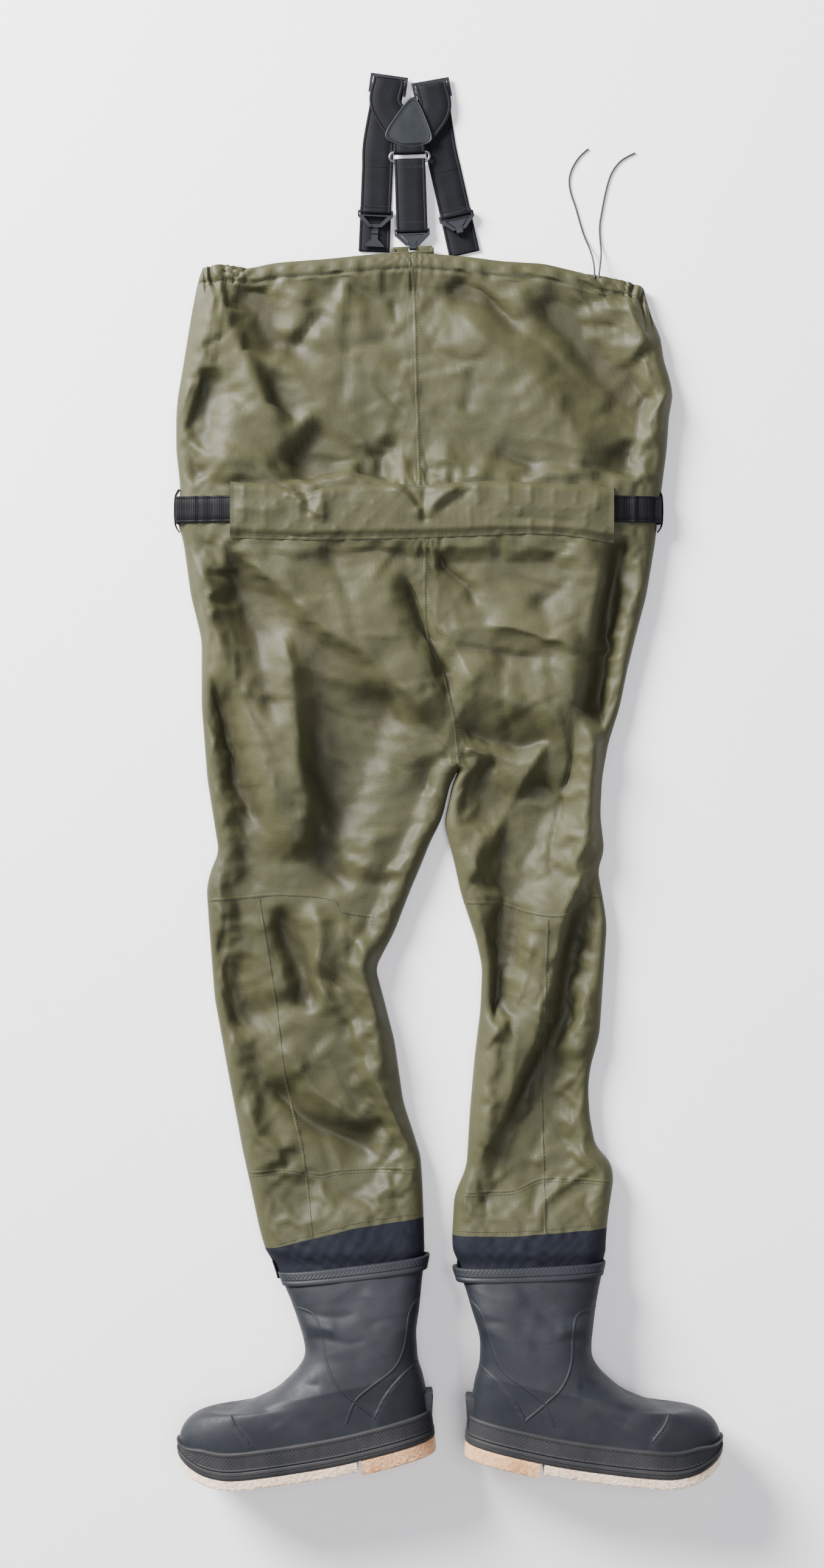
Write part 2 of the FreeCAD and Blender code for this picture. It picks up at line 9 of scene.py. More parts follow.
import bmesh
import bpy
import numpy as np
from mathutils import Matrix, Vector
from mathutils.bvhtree import BVHTree


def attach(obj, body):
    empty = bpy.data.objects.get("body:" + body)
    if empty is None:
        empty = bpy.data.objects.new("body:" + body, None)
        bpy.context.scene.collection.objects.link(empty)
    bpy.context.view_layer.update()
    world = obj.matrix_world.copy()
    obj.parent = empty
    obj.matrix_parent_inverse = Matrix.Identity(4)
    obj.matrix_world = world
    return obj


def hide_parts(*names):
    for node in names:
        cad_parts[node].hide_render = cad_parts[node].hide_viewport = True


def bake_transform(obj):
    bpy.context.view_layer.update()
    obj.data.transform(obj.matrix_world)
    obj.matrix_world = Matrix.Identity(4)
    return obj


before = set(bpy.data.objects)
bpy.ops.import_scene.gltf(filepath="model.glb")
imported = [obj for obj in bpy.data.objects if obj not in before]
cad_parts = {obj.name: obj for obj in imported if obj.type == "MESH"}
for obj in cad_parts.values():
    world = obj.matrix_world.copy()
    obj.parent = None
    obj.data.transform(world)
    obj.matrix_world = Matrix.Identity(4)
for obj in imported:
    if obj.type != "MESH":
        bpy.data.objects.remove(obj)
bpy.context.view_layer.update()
MM = 0.001
SHIFT = np.array([3.2, -6.7, 0.0])       # the design's layout to the frame

# ---- camera, light and floor ---------------------------------------------------------------
CAMERA_X, CAMERA_Y, CAMERA_HEIGHT = -41.5, -15.6, 3000.0
VIEW_HEIGHT = 1919.0                     # length of floor that the camera sees
WORLD_STRENGTH = 0.44
SENSOR = 36.0


def make_camera():
    data = bpy.data.cameras.new("camera")
    data.sensor_fit = "VERTICAL"
    data.sensor_height = SENSOR
    data.lens = SENSOR * CAMERA_HEIGHT / VIEW_HEIGHT
    camera = bpy.data.objects.new("camera", data)
    camera.location = (CAMERA_X * MM, CAMERA_Y * MM, CAMERA_HEIGHT * MM)
    bpy.context.scene.collection.objects.link(camera)
    bpy.context.scene.camera = camera


def make_light(name, place, target, size, power, color):
    data = bpy.data.lights.new(name, "AREA")
    data.shape = "DISK"
    data.size = size
    data.energy = power
    data.color = color
    light = bpy.data.objects.new(name, data)
    light.location = place
    light.rotation_euler = (Vector(target) - Vector(place)).to_track_quat("-Z", "Y").to_euler()
    bpy.context.scene.collection.objects.link(light)


def make_world():
    world = bpy.data.worlds.new("studio")
    world.use_nodes = True
    background = world.node_tree.nodes["Background"]
    background.inputs["Color"].default_value = (0.93, 0.92, 1.0, 1.0)
    background.inputs["Strength"].default_value = WORLD_STRENGTH
    bpy.context.scene.world = world


# ---- materials -------------------------------------------------------------------------------
def new_material(name, rough, **sockets):
    """A material with its shader; the colour and the bump are added by the caller."""
    mat = bpy.data.materials.new(name)
    mat.use_nodes = True
    shader = mat.node_tree.nodes["Principled BSDF"]
    shader.inputs["Roughness"].default_value = rough
    for label, value in sockets.items():
        shader.inputs[label.replace("_", " ")].default_value = value
    return mat, mat.node_tree, shader


def add_node(tree, kind, **values):
    node = tree.nodes.new(kind)
    for label, value in values.items():
        key = label.replace("_", " ")
        if key in node.inputs:
            node.inputs[key].default_value = value
        else:
            setattr(node, label, value)
    return node


def object_coordinates(tree, scale=(1, 1, 1), turn=0.0):
    source = add_node(tree, "ShaderNodeTexCoord")
    mapping = add_node(tree, "ShaderNodeMapping", Scale=scale, Rotation=(0, 0, turn))
    tree.links.new(source.outputs["Object"], mapping.inputs["Vector"])
    return mapping.outputs["Vector"]


def noise(tree, vector, scale, detail=3.0, rough=0.55):
    node = add_node(tree, "ShaderNodeTexNoise", Scale=scale, Detail=detail, Roughness=rough)
    tree.links.new(vector, node.inputs["Vector"])
    return node.outputs["Fac"]


def ramp(tree, value, stops):
    """Colour ramp; stops are (position, colour)."""
    node = add_node(tree, "ShaderNodeValToRGB")
    elements = node.color_ramp.elements
    while len(elements) < len(stops):
        elements.new(0.5)
    for element, (position, color) in zip(elements, stops):
        element.position = position
        element.color = (*color, 1.0)
    tree.links.new(value, node.inputs["Fac"])
    return node.outputs["Color"]


def mix_colors(tree, factor, first, second, blend="MIX"):
    """Mixes two colours; each is a socket or a plain colour."""
    node = add_node(tree, "ShaderNodeMix", data_type="RGBA", blend_type=blend)
    tree.links.new(factor, node.inputs[0])
    for socket, value in ((node.inputs[6], first), (node.inputs[7], second)):
        if isinstance(value, tuple):
            socket.default_value = (*value, 1.0)
        else:
            tree.links.new(value, socket)
    return node.outputs[2]


def bump(tree, shader, height, strength, distance, before=None):
    node = add_node(tree, "ShaderNodeBump", Strength=strength, Distance=distance)
    tree.links.new(height, node.inputs["Height"])
    if before is not None:
        tree.links.new(before, node.inputs["Normal"])
    tree.links.new(node.outputs["Normal"], shader.inputs["Normal"])
    return node.outputs["Normal"]


def weave(tree, vector, pitch):
    """Height of a plain weave of threads along X and Y, a pitch apart in metres."""
    heights = []
    for direction in ("X", "Y"):
        wave = add_node(tree, "ShaderNodeTexWave", wave_type="BANDS", bands_direction=direction,
                        Scale=1.0 / pitch / 3.18)
        tree.links.new(vector, wave.inputs["Vector"])
        heights.append(wave.outputs["Fac"])
    node = add_node(tree, "ShaderNodeMath", operation="MULTIPLY")
    tree.links.new(heights[0], node.inputs[0])
    tree.links.new(heights[1], node.inputs[1])
    return node.outputs["Value"]


def make_nylon(name, dark, mid, light):
    """Coated cloth; a mesh attribute (0..1) darkens the bottoms of its folds with painted shade."""
    mat, tree, shader = new_material(name, 0.55, Sheen_Weight=0.02, Specular_IOR_Level=0.22)
    vector = object_coordinates(tree)
    patches = noise(tree, vector, 5.0, 5.0, 0.6)
    color = ramp(tree, patches, [(0.30, dark), (0.50, mid), (0.72, light)])
    # Painted shade: the colour is multiplied towards (0.66, 0.64, 0.64) in the bottoms of the folds, where
    # shade falls.
    painted_fold_shade = add_node(tree, "ShaderNodeAttribute", attribute_name="painted_fold_shade")
    shaded = mix_colors(tree, painted_fold_shade.outputs["Fac"], color, (0.66, 0.64, 0.64), "MULTIPLY")
    tree.links.new(shaded, shader.inputs["Base Color"])
    gloss = ramp(tree, noise(tree, vector, 16.0, 4.0), [(0.3, (0.50,) * 3), (0.7, (0.64,) * 3)])
    tree.links.new(gloss, shader.inputs["Roughness"])
    creases = noise(tree, vector, 55.0, 6.0, 0.62)
    first = bump(tree, shader, creases, 0.35, 0.0022)
    bump(tree, shader, weave(tree, vector, 0.0009), 0.25, 0.00012, first)
    return mat


def make_rubber(name, dark, light, rough, grain):
    mat, tree, shader = new_material(name, rough, Specular_IOR_Level=0.22)
    vector = object_coordinates(tree)
    cloud = noise(tree, vector, 14.0, 6.0, 0.65)
    tree.links.new(ramp(tree, cloud, [(0.35, dark), (0.7, light)]), shader.inputs["Base Color"])
    scuffs = ramp(tree, noise(tree, vector, 40.0, 8.0, 0.7),
                  [(0.35, (rough - 0.1,) * 3), (0.75, (rough + 0.12,) * 3)])
    tree.links.new(scuffs, shader.inputs["Roughness"])
    bump(tree, shader, noise(tree, vector, grain, 4.0), 0.12, 0.0006)
    return mat


def make_webbing(name, dark, light, pitch, rough=0.62):
    mat, tree, shader = new_material(name, rough, Specular_IOR_Level=0.12)
    vector = object_coordinates(tree)
    color = ramp(tree, noise(tree, vector, 60.0, 4.0), [(0.3, dark), (0.75, light)])
    tree.links.new(color, shader.inputs["Base Color"])
    bump(tree, shader, weave(tree, vector, pitch), 0.35, 0.0003)
    return mat


def make_metal(name, color, rough):
    mat, tree, shader = new_material(name, rough, Metallic=1.0)
    vector = object_coordinates(tree)
    tone = ramp(tree, noise(tree, vector, 120.0, 3.0), [(0.3, tuple(0.75 * c for c in color)), (0.7, color)])
    tree.links.new(tone, shader.inputs["Base Color"])
    bump(tree, shader, noise(tree, vector, 300.0, 2.0), 0.08, 0.0002)
    return mat


def make_felt(name, dark, mid, light, streak):
    mat, tree, shader = new_material(name, 0.92, Sheen_Weight=0.3, Specular_IOR_Level=0.15)
    fibres = noise(tree, object_coordinates(tree, streak), 260.0, 6.0, 0.75)
    stains = noise(tree, object_coordinates(tree), 28.0, 5.0, 0.7)
    both = add_node(tree, "ShaderNodeMath", operation="MULTIPLY_ADD")
    both.inputs[1].default_value = 0.55
    tree.links.new(fibres, both.inputs[0])
    half = add_node(tree, "ShaderNodeMath", operation="MULTIPLY")
    half.inputs[1].default_value = 0.5
    tree.links.new(stains, half.inputs[0])
    tree.links.new(half.outputs["Value"], both.inputs[2])
    color = ramp(tree, both.outputs["Value"], [(0.34, dark), (0.52, mid), (0.68, light)])
    tree.links.new(color, shader.inputs["Base Color"])
    bump(tree, shader, fibres, 0.9, 0.0012)
    return mat


def make_floor_material():
    mat, tree, shader = new_material("floor_paint", 0.75, Specular_IOR_Level=0.2)
    vector = object_coordinates(tree)
    color = ramp(tree, noise(tree, vector, 1.2, 2.0), [(0.3, (0.86, 0.85, 0.86)), (0.7, (0.89, 0.88, 0.885))])
    tree.links.new(color, shader.inputs["Base Color"])
    return mat


def make_thread(name, color):
    mat, tree, shader = new_material(name, 0.7, Sheen_Weight=0.2)
    vector = object_coordinates(tree)
    tone = ramp(tree, noise(tree, vector, 400.0, 2.0), [(0.3, tuple(0.7 * c for c in color)), (0.7, color)])
    tree.links.new(tone, shader.inputs["Base Color"])
    bump(tree, shader, noise(tree, vector, 1500.0, 2.0), 0.3, 0.0002)
    return mat


NYLON = make_nylon("nylon", (0.027, 0.027, 0.0105), (0.036, 0.0355, 0.015), (0.046, 0.0445, 0.020))
THREAD = make_thread("olive_thread", (0.012, 0.012, 0.006))
NEOPRENE = make_webbing("neoprene", (0.004, 0.005, 0.009), (0.008, 0.009, 0.014), 0.0011, 0.7)
ELASTIC = make_webbing("elastic", (0.0012, 0.0014, 0.0026), (0.003, 0.0034, 0.0055), 0.0012)
SELVEDGE = make_webbing("selvedge", (0.020, 0.022, 0.026), (0.036, 0.038, 0.042), 0.0010)
BELT = make_webbing("belt_weave", (0.0015, 0.0015, 0.0025), (0.0035, 0.0035, 0.005), 0.0012)
PLASTIC = make_rubber("moulded_plastic", (0.010, 0.011, 0.014), (0.018, 0.019, 0.023), 0.36, 180.0)
PATCH = make_rubber("patch_leather", (0.006, 0.008, 0.010), (0.011, 0.013, 0.016), 0.5, 700.0)
STEEL = make_metal("blackened_steel", (0.22, 0.22, 0.24), 0.3)
RUBBER = make_rubber("boot_rubber", (0.006, 0.0075, 0.0105), (0.012, 0.0135, 0.0175), 0.58, 420.0)
SOLE_RUBBER = make_rubber("sole_rubber", (0.010, 0.011, 0.013), (0.024, 0.023, 0.024), 0.62, 300.0)
LINING = make_webbing("boot_lining", (0.05, 0.05, 0.05), (0.09, 0.09, 0.085), 0.0014)
FELT = make_felt("felt", (0.30, 0.20, 0.13), (0.62, 0.47, 0.34), (0.78, 0.66, 0.53), (1, 1, 0.12))
HEEL = make_felt("heel_felt", (0.24, 0.10, 0.04), (0.47, 0.25, 0.12), (0.62, 0.42, 0.26), (1, 1, 0.12))
CORD = make_thread("cord_braid", (0.012, 0.012, 0.014))
FLOOR = make_floor_material()


# ---- mesh helpers ------------------------------------------------------------------------------
def add_object(name, verts, faces, mat, smooth=True):
    """A mesh object from points in millimetres."""
    mesh = bpy.data.meshes.new(name)
    mesh.from_pydata([tuple(c * MM for c in v) for v in verts], [], [tuple(f) for f in faces])
    mesh.validate()
    mesh.polygons.foreach_set("use_smooth", [smooth] * len(mesh.polygons))
    mesh.materials.append(mat)
    obj = bpy.data.objects.new(name, mesh)
    bpy.context.scene.collection.objects.link(obj)
    return obj


def smoothstep(value, low, high):
    t = np.clip((np.asarray(value, float) - low) / (high - low), 0, 1)
    return t * t * (3 - 2 * t)


def smooth_line(points, step):
    """Catmull-Rom curve through points, sampled about every step."""
    p = np.array(points, float)
    padded = np.vstack([2 * p[0] - p[1], p, 2 * p[-1] - p[-2]])
    pieces = []
    for a, b, c, d in zip(padded, padded[1:], padded[2:], padded[3:]):
        count = max(2, int(np.linalg.norm(c - b) / step))
        t = np.linspace(0, 1, count, endpoint=False)[:, None]
        curve = 2 * b + (c - a) * t + (2 * a - 5 * b + 4 * c - d) * t ** 2 + (3 * b - a - 3 * c + d) * t ** 3
        pieces.append(curve / 2)
    return np.vstack(pieces + [p[-1:]])


def gradient_noise(x, y, cell, seed):
    """Smooth noise in -1..1 with features about a cell wide."""
    rng = np.random.default_rng(seed)
    angle = rng.uniform(0, 2 * math.pi, (64, 64))
    gx, gy = np.cos(angle), np.sin(angle)
    u, v = x / cell + 1000.0, y / cell + 1000.0
    iu, iv = np.floor(u).astype(int), np.floor(v).astype(int)
    fu, fv = u - iu, v - iv
    su, sv = fu ** 3 * (fu * (6 * fu - 15) + 10), fv ** 3 * (fv * (6 * fv - 15) + 10)

    def corner(du, dv):
        i, j = (iu + du) % 64, (iv + dv) % 64
        return gx[i, j] * (fu - du) + gy[i, j] * (fv - dv)

    low = corner(0, 0) * (1 - su) + corner(1, 0) * su
    high = corner(0, 1) * (1 - su) + corner(1, 1) * su
    return 1.4 * (low * (1 - sv) + high * sv)


# ---- garment: outline, rows and layers -------------------------------------------------------------
CROTCH_Y = 0.0
KNEE_SPLIT_Y = -118.0
FABRIC_END_Y = -560.0
BAND_END_Y = -600.0
HEM_Y = 600.0
HEM_BAND = 18.0

LEFT_SIDE = [(-292, 612), (-301, 591), (-311, 546), (-319, 502), (-327, 457), (-329, 435), (-329, 391),
             (-324, 346), (-327, 302), (-320, 279), (-311, 213), (-305, 190), (-298, 160), (-298, 79),
             (-291, -10),
             (-284, -54), (-277, -99), (-287, -121), (-292, -143), (-289, -188), (-282, -277), (-266, -365),
             (-249, -454), (-238, -495), (-226, -543), (-207, -601)]
RIGHT_SIDE = [(238, 612), (244, 591), (251, 569), (261, 546), (266, 502), (272, 482), (277, 458), (272, 435),
              (269, 391), (263, 346), (257, 302), (255, 279), (244, 213), (232, 168), (221, 124), (212, 79),
              (198, 35), (190, -10), (188, -54), (193, -96), (185, -121), (193, -165), (196, -188),
              (190, -277),
              (187, -321), (176, -360), (173, -385), (175, -420), (182, -458), (200, -477), (204, -499),
              (197, -543),
              (193, -580), (194, -601)]
SEAM = [(-41, 640), (-32, 353), (-25, 283), (-25, 175), (-4, 120), (9, 60), (13, 23), (15, 0)]
LEFT_INNER = [(15, 0), (6, -12), (-5, -58), (-20, -88), (-29, -111), (-45, -149), (-63, -196), (-80, -228),
              (-86, -240), (-79, -265), (-63, -327), (-52, -403), (-40, -440), (-31, -474), (-29, -510),
              (-26, -601)]
RIGHT_INNER = [(15, 0), (8, -12), (-3, -64), (9, -111), (17, -149), (36, -206), (43, -239), (41, -289),
               (34, -346), (28, -414), (24, -480), (9, -514), (6, -566), (10, -601)]
HEM_LINE = [(-300, 613), (-272, 618), (-240, 612), (-208, 619), (-142, 624), (-82, 630), (-40, 632),
            (29, 626),
            (67, 621), (118, 618), (160, 608), (216, 598), (240, 590), (256, 578)]
LEFT_FABRIC_END = [(-212, -577), (-110, -551), (-27, -540)]
LEFT_BAND_END = [(-206, -614), (-26, -592)]
RIGHT_FABRIC_END = [(6, -562), (80, -561), (192, -553)]
RIGHT_BAND_END = [(10, -604), (194, -597)]

BUCKLE = (-12.0, 317.0)                  # middle of the belt buckle, which lies under the front
# Height, crown, top of the side roll, side edge, radius of the side roll.
SECTIONS = [(600, 15, 12, 8, 9), (575, 20, 15, 9, 11), (520, 30, 20, 10, 15), (440, 35, 24, 10, 17),
            (340, 36, 26, 11, 18), (100, 37, 26, 11, 18), (-100, 35, 25, 11, 17), (-300, 34, 25, 11, 17),
            (-450, 36, 27, 13, 18), (-530, 43, 36, 20, 23), (-600, 55, 49, 29, 28)]

# Folds of the cloth seen from above: height of the crest (or depth of the valley), how far it reaches
# to the left of its line and to the right, and the line itself.
FOLDS = [
    (12, 14, 45, [(-283, 593), (-264, 534), (-239, 487), (-217, 440), (-181, 421)]),
    (-10, 22, 12, [(-243, 597), (-221, 543), (-203, 500)]),
    (-9, 18, 12, [(-141, 567), (-169, 535), (-196, 500)]),
    (9, 25, 30, [(-173, 595), (-181, 559), (-193, 523)]),
    (-9, 26, 16, [(-203, 495), (-207, 471), (-201, 449), (-179, 421)]),
    (-9, 30, 10, [(-149, 432), (-169, 403), (-196, 372)]),
    (6, 12, 25, [(-161, 451), (-177, 415), (-209, 383)]),
    (-8, 30, 10, [(-285, 493), (-302, 437), (-321, 403)]),
    (-6, 12, 20, [(-256, 470), (-247, 445), (-222, 430)]),
    (-8, 22, 25, [(-327, 403), (-311, 379), (-293, 352)]),
    (7, 40, 25, [(-261, 451), (-265, 399), (-273, 355)]),
    (11, 25, 40, [(5, 584), (28, 555), (62, 517), (104, 483), (130, 437), (155, 403), (189, 352)]),
    (-9, 10, 22, [(-1, 589), (45, 576), (77, 549), (102, 559)]),
    (8, 25, 15, [(82, 595), (92, 567), (78, 539)]),
    (-10, 18, 18, [(108, 576), (142, 542), (172, 500), (202, 470), (236, 453), (270, 461)]),
    (9, 12, 35, [(218, 584), (232, 542), (252, 513)]),
    (-8, 28, 8, [(-201, 353), (-141, 365), (-82, 362), (-53, 354)]),
    (-5, 6, 8, [(-65, 575), (-63, 559), (-59, 541)]),
    (5, 10, 10, [(-117, 397), (-85, 403), (-61, 421)]),
    (-5, 8, 14, [(-101, 399), (-77, 401), (-53, 398)]),
    (6, 20, 20, [(-29, 383), (11, 371), (59, 357)]),
    (-5, 14, 8, [(21, 507), (29, 479), (21, 435)]),
    (-4, 8, 10, [(-25, 531), (-5, 507), (27, 501)]),
    (-5, 8, 12, [(59, 399), (82, 383), (110, 379)]),
    (-7, 8, 12, [(218, 393), (215, 375), (210, 357)]),
    (6, 25, 20, [(276, 463), (250, 431), (234, 391)]),
    (-5, 14, 14, [(-125, 511), (-93, 519), (-61, 539)]),
    (6, 40, 15, [(-117, 595), (-133, 571), (-169, 519)]),
    (13, 70, 7, [(-260, 271), (-194, 218), (-144, 167), (-93, 133), (-63, 103), (-8, 52)]),
    (10, 30, 12, [(-308, 271), (-294, 203), (-273, 139), (-237, 42), (-201, -65), (-178, -111)]),
    (-8, 10, 25, [(-287, 121), (-269, 71), (-242, -11), (-212, -83)]),
    (-7, 20, 30, [(-266, 261), (-233, 185), (-216, 114), (-208, 42)]),
    (11, 12, 35, [(-194, 171), (-188, 77), (-178, -37), (-172, -111)]),
    (-14, 20, 55, [(-69, 103), (-90, 42), (-119, -11), (-148, -47)]),
    (-5, 10, 10, [(-33, 17), (-26, -4), (-22, -29)]),
    (6, 25, 25, [(-90, -65), (-89, -101), (-87, -136)]),
    (-8, 20, 35, [(-126, -22), (-140, -65), (-137, -108), (-119, -147)]),
    (7, 18, 50, [(-73, 250), (-69, 203), (-47, 150), (-22, 93), (-8, 64)]),
    (-8, 14, 16, [(-56, 239), (-40, 193), (-15, 143), (4, 107), (8, 71)]),
    (-6, 8, 10, [(-12, 271), (3, 239), (28, 216), (35, 185)]),
    (8, 22, 10, [(47, 167), (81, 172), (123, 163), (162, 155), (178, 135)]),
    (10, 30, 25, [(3, 132), (38, 100), (81, 82), (128, 74), (158, 87)]),
    (-9, 30, 20, [(13, 64), (56, 42), (103, 35), (142, 50)]),
    (12, 9, 35, [(210, 271), (188, 210), (180, 135), (162, 78)]),
    (-18, 14, 14, [(217, 289), (199, 221), (188, 150), (183, 93), (188, 46)]),
    (10, 10, 28, [(160, 143), (161, 78), (176, 42), (184, -22), (169, -83), (153, -136)]),
    (-16, 22, 22, [(128, -4), (106, -47), (88, -101), (78, -157)]),
    (5, 8, 20, [(132, 53), (100, -8), (73, -55), (53, -102)]),
    (-2.5, 3, 3, [(158, 86), (156, 27), (139, -46), (128, -97), (132, -135)]),
    (-14, 25, 30, [(17, -4), (38, -29), (60, -47), (92, -18)]),
    (6, 8, 8, [(24, 26), (45, 17), (60, 7)]),
    (6, 10, 10, [(38, -4), (31, -29), (28, -42)]),
    (8, 35, 20, [(56, -65), (38, -93), (35, -136)]),
    (-4, 15, 15, [(-151, 282), (-133, 239), (-112, 189)]),
    (-5, 10, 10, [(106, 214), (121, 185), (121, 159)]),
    (-4, 10, 10, [(53, 157), (70, 125), (81, 114)]),
    (-4, 6, 6, [(124, 103), (129, 82)]),
    (-12, 16, 24, [(-202, -163), (-192, -199), (-174, -252), (-162, -294)]),
    (6, 12, 40, [(-216, -166), (-205, -216), (-187, -284)]),
    (8, 16, 14, [(-162, -155), (-151, -205), (-155, -252), (-133, -298)]),
    (7, 16, 30, [(-128, -178), (-96, -220), (-69, -305), (-56, -370)]),
    (-9, 10, 18, [(-128, -296), (-115, -317), (-99, -352)]),
    (8, 16, 10, [(-121, -291), (-99, -344), (-74, -391), (-53, -437), (-33, -468)]),
    (-10, 26, 12, [(-221, -375), (-194, -395), (-169, -422), (-140, -438), (-110, -454), (-82, -468)]),
    (5, 15, 30, [(-201, -327), (-165, -384), (-119, -413), (-90, -441)]),
    (-6, 25, 18, [(-280, -188), (-266, -248), (-237, -327)]),
    (5, 20, 20, [(-257, -409), (-226, -438), (-194, -477)]),
    (-4, 8, 8, [(-196, -456), (-192, -481)]),
    (-6, 12, 12, [(-90, -420), (-69, -441), (-55, -470)]),
    (-16, 18, 20, [(78, -120), (76, -188), (67, -248), (63, -313)]),
    (13, 14, 45, [(171, -102), (142, -188), (128, -241), (103, -313), (74, -388), (45, -456), (29, -486)]),
    (-8, 35, 10, [(160, -145), (142, -241), (121, -320), (92, -384), (60, -449)]),
    (4, 5, 8, [(106, -191), (95, -241), (78, -298)]),
    (-6, 8, 8, [(42, -345), (56, -331), (60, -320)]),
    (-9, 10, 18, [(180, -359), (176, -377), (162, -393), (147, -424)]),
    (5, 20, 30, [(181, -248), (163, -313), (156, -356)]),
    (-6, 20, 20, [(188, -141), (178, -188), (156, -230)]),
    (4, 14, 14, [(174, -431), (167, -459), (181, -491)]),
]


def across(line, y):
    """X of an outline at a height, with its corners eased."""
    points = sorted(line, key=lambda p: p[1])
    heights = [p[1] for p in points]
    values = [p[0] for p in points]
    offsets = np.linspace(-9, 9, 7)
    return np.mean([np.interp(y + o, heights, values) for o in offsets], axis=0)


def up(line, x):
    """Y of a slanted or curved edge at an X, with its corners eased."""
    offsets = np.linspace(-6, 6, 5)
    return np.mean([np.interp(x + o, [p[0] for p in line], [p[1] for p in line]) for o in offsets], axis=0)


def fold_height(x, y, folds, long_fold=1.0):
    """Sum of a list of folds at points in plan; the ones shorter than a long fold are lower."""
    total = np.zeros_like(x)
    for height, left, right, points in folds:
        line = smooth_line(points, 5.0)
        reach = 4.5 * max(left, right)
        near = ((x > line[:, 0].min() - reach) & (x < line[:, 0].max() + reach)
                & (y > line[:, 1].min() - reach) & (y < line[:, 1].max() + reach))
        px, py = x[near], y[near]
        dx, dy = px[:, None] - line[:, 0], py[:, None] - line[:, 1]
        squared = dx ** 2 + dy ** 2
        nearest = squared.argmin(axis=1)
        pick = np.arange(len(px)), nearest
        tangent = np.gradient(line, axis=0)
        tangent /= np.linalg.norm(tangent, axis=1)[:, None]
        tx, ty = tangent[nearest, 0], tangent[nearest, 1]
        off = tx * dy[pick] - ty * dx[pick]
        past = np.maximum(np.abs(tx * dx[pick] + ty * dy[pick]) - 2.6, 0)
        distance = np.hypot(off, past)
        side = off / np.maximum(distance, 1e-6)
        width = 1.25 * (right + (left - right) * (0.5 + 0.5 * side))
        along = np.clip((nearest + (tx * dx[pick] + ty * dy[pick]) / 5.0) / (len(line) - 1), 0, 1)
        taper = smoothstep(np.minimum(along, 1 - along), -0.03, 0.22)
        q = distance / width
        full = np.clip(5.0 * len(line) / long_fold, 0.35, 1.0)
        total[near] += full * height * taper * np.exp(-1.5 * (np.sqrt(q * q + 0.03) - 0.173))
    return total


def crumple(x, y):
    """Fine creasing all over the cloth."""
    warp_x = x + 14 * gradient_noise(x, y, 70, 3)
    warp_y = y + 14 * gradient_noise(x, y, 70, 4)
    broad = gradient_noise(warp_x, warp_y, 62, 5)
    middle = 1 - 2 * np.abs(gradient_noise(warp_x, warp_y, 38, 6))
    fine = 1 - 2 * np.abs(gradient_noise(warp_x, warp_y, 17, 7))
    return 2.0 * broad + 1.5 * middle + 0.5 * fine


def random_creases():
    """Fine sharp creases of stiff cloth: mostly steep on the legs, slanting on the torso."""
    rng = np.random.default_rng(17)
    creases = []
    for _ in range(430):
        x, y = rng.uniform(-320, 270), rng.uniform(-540, 580)
        spread_of_angles = 0.5 if y < 60 else 1.0
        angle = math.pi / 2 + rng.normal(0.15 if x < 0 else -0.15, spread_of_angles)
        length, bow = rng.uniform(35, 130), rng.normal(0, 0.12)
        along = np.array([math.cos(angle), math.sin(angle)])
        aside = np.array([-along[1], along[0]])
        middle = np.array([x, y])
        points = [middle + along * length * t + aside * length * bow * (0.25 - t * t)
                  for t in (-0.5, -0.2, 0.2, 0.5)]
        narrow, wide = rng.uniform(2.2, 4.5), rng.uniform(7, 16)
        left, right = (narrow, wide) if rng.random() < 0.5 else (wide, narrow)
        creases.append((rng.choice([-1, 1]) * rng.uniform(0.9, 3.0), left, right, points))
    return creases


def gathers(x, depth):
    """Tight folds where the drawcord bunches the hem: at both corners and at the cord's exit."""
    strength = (smoothstep(x, -300, -285) * (1 - smoothstep(x, -250, -225))
                + 0.8 * smoothstep(x, 150, 172) * (1 - smoothstep(x, 190, 205))
                + smoothstep(x, 205, 222)) + 0.12
    phase = x / 9.5 + 1.6 * gradient_noise(x, depth * 0.4, 28, 8)
    ridges = np.abs(np.sin(math.pi * phase)) * 2 - 1.1
    fade = np.exp(-np.maximum(depth - 14, 0) / 26)
    return 3.4 * strength * ridges * fade


ROWS = np.concatenate([np.arange(HEM_Y, HEM_Y - 24, -1.5), np.arange(HEM_Y - 24, CROTCH_Y, -3.6), [CROTCH_Y],
                       np.arange(CROTCH_Y - 3.4, KNEE_SPLIT_Y, -3.6), [KNEE_SPLIT_Y],
                       np.arange(KNEE_SPLIT_Y - 3.4, FABRIC_END_Y, -3.6), [FABRIC_END_Y],
                       np.arange(FABRIC_END_Y - 3, BAND_END_Y, -3.0), [BAND_END_Y]])
COLUMNS = 72                             # top columns of each half; the lower layer has half as many
FOLD_SCALE = 2.5
FOLD_LIMIT = 21.0
UNDERSIDE_SHIFT = 300.0                  # so that the two layers crease differently
UNDERSIDE_RISE = 0.9                     # share of its creasing that lifts off the floor
CLOTH_GROWTH = 0.03                      # share by which the cloth is larger than the space it lies in
SETTLE_FRAMES = 22
SETTLE_LIMIT = 14.0


def column_places():
    """Shares of the width, closer together at both sides."""
    t = np.linspace(0, 1, COLUMNS + 1)
    return t - 0.115 * np.sin(2 * math.pi * t)


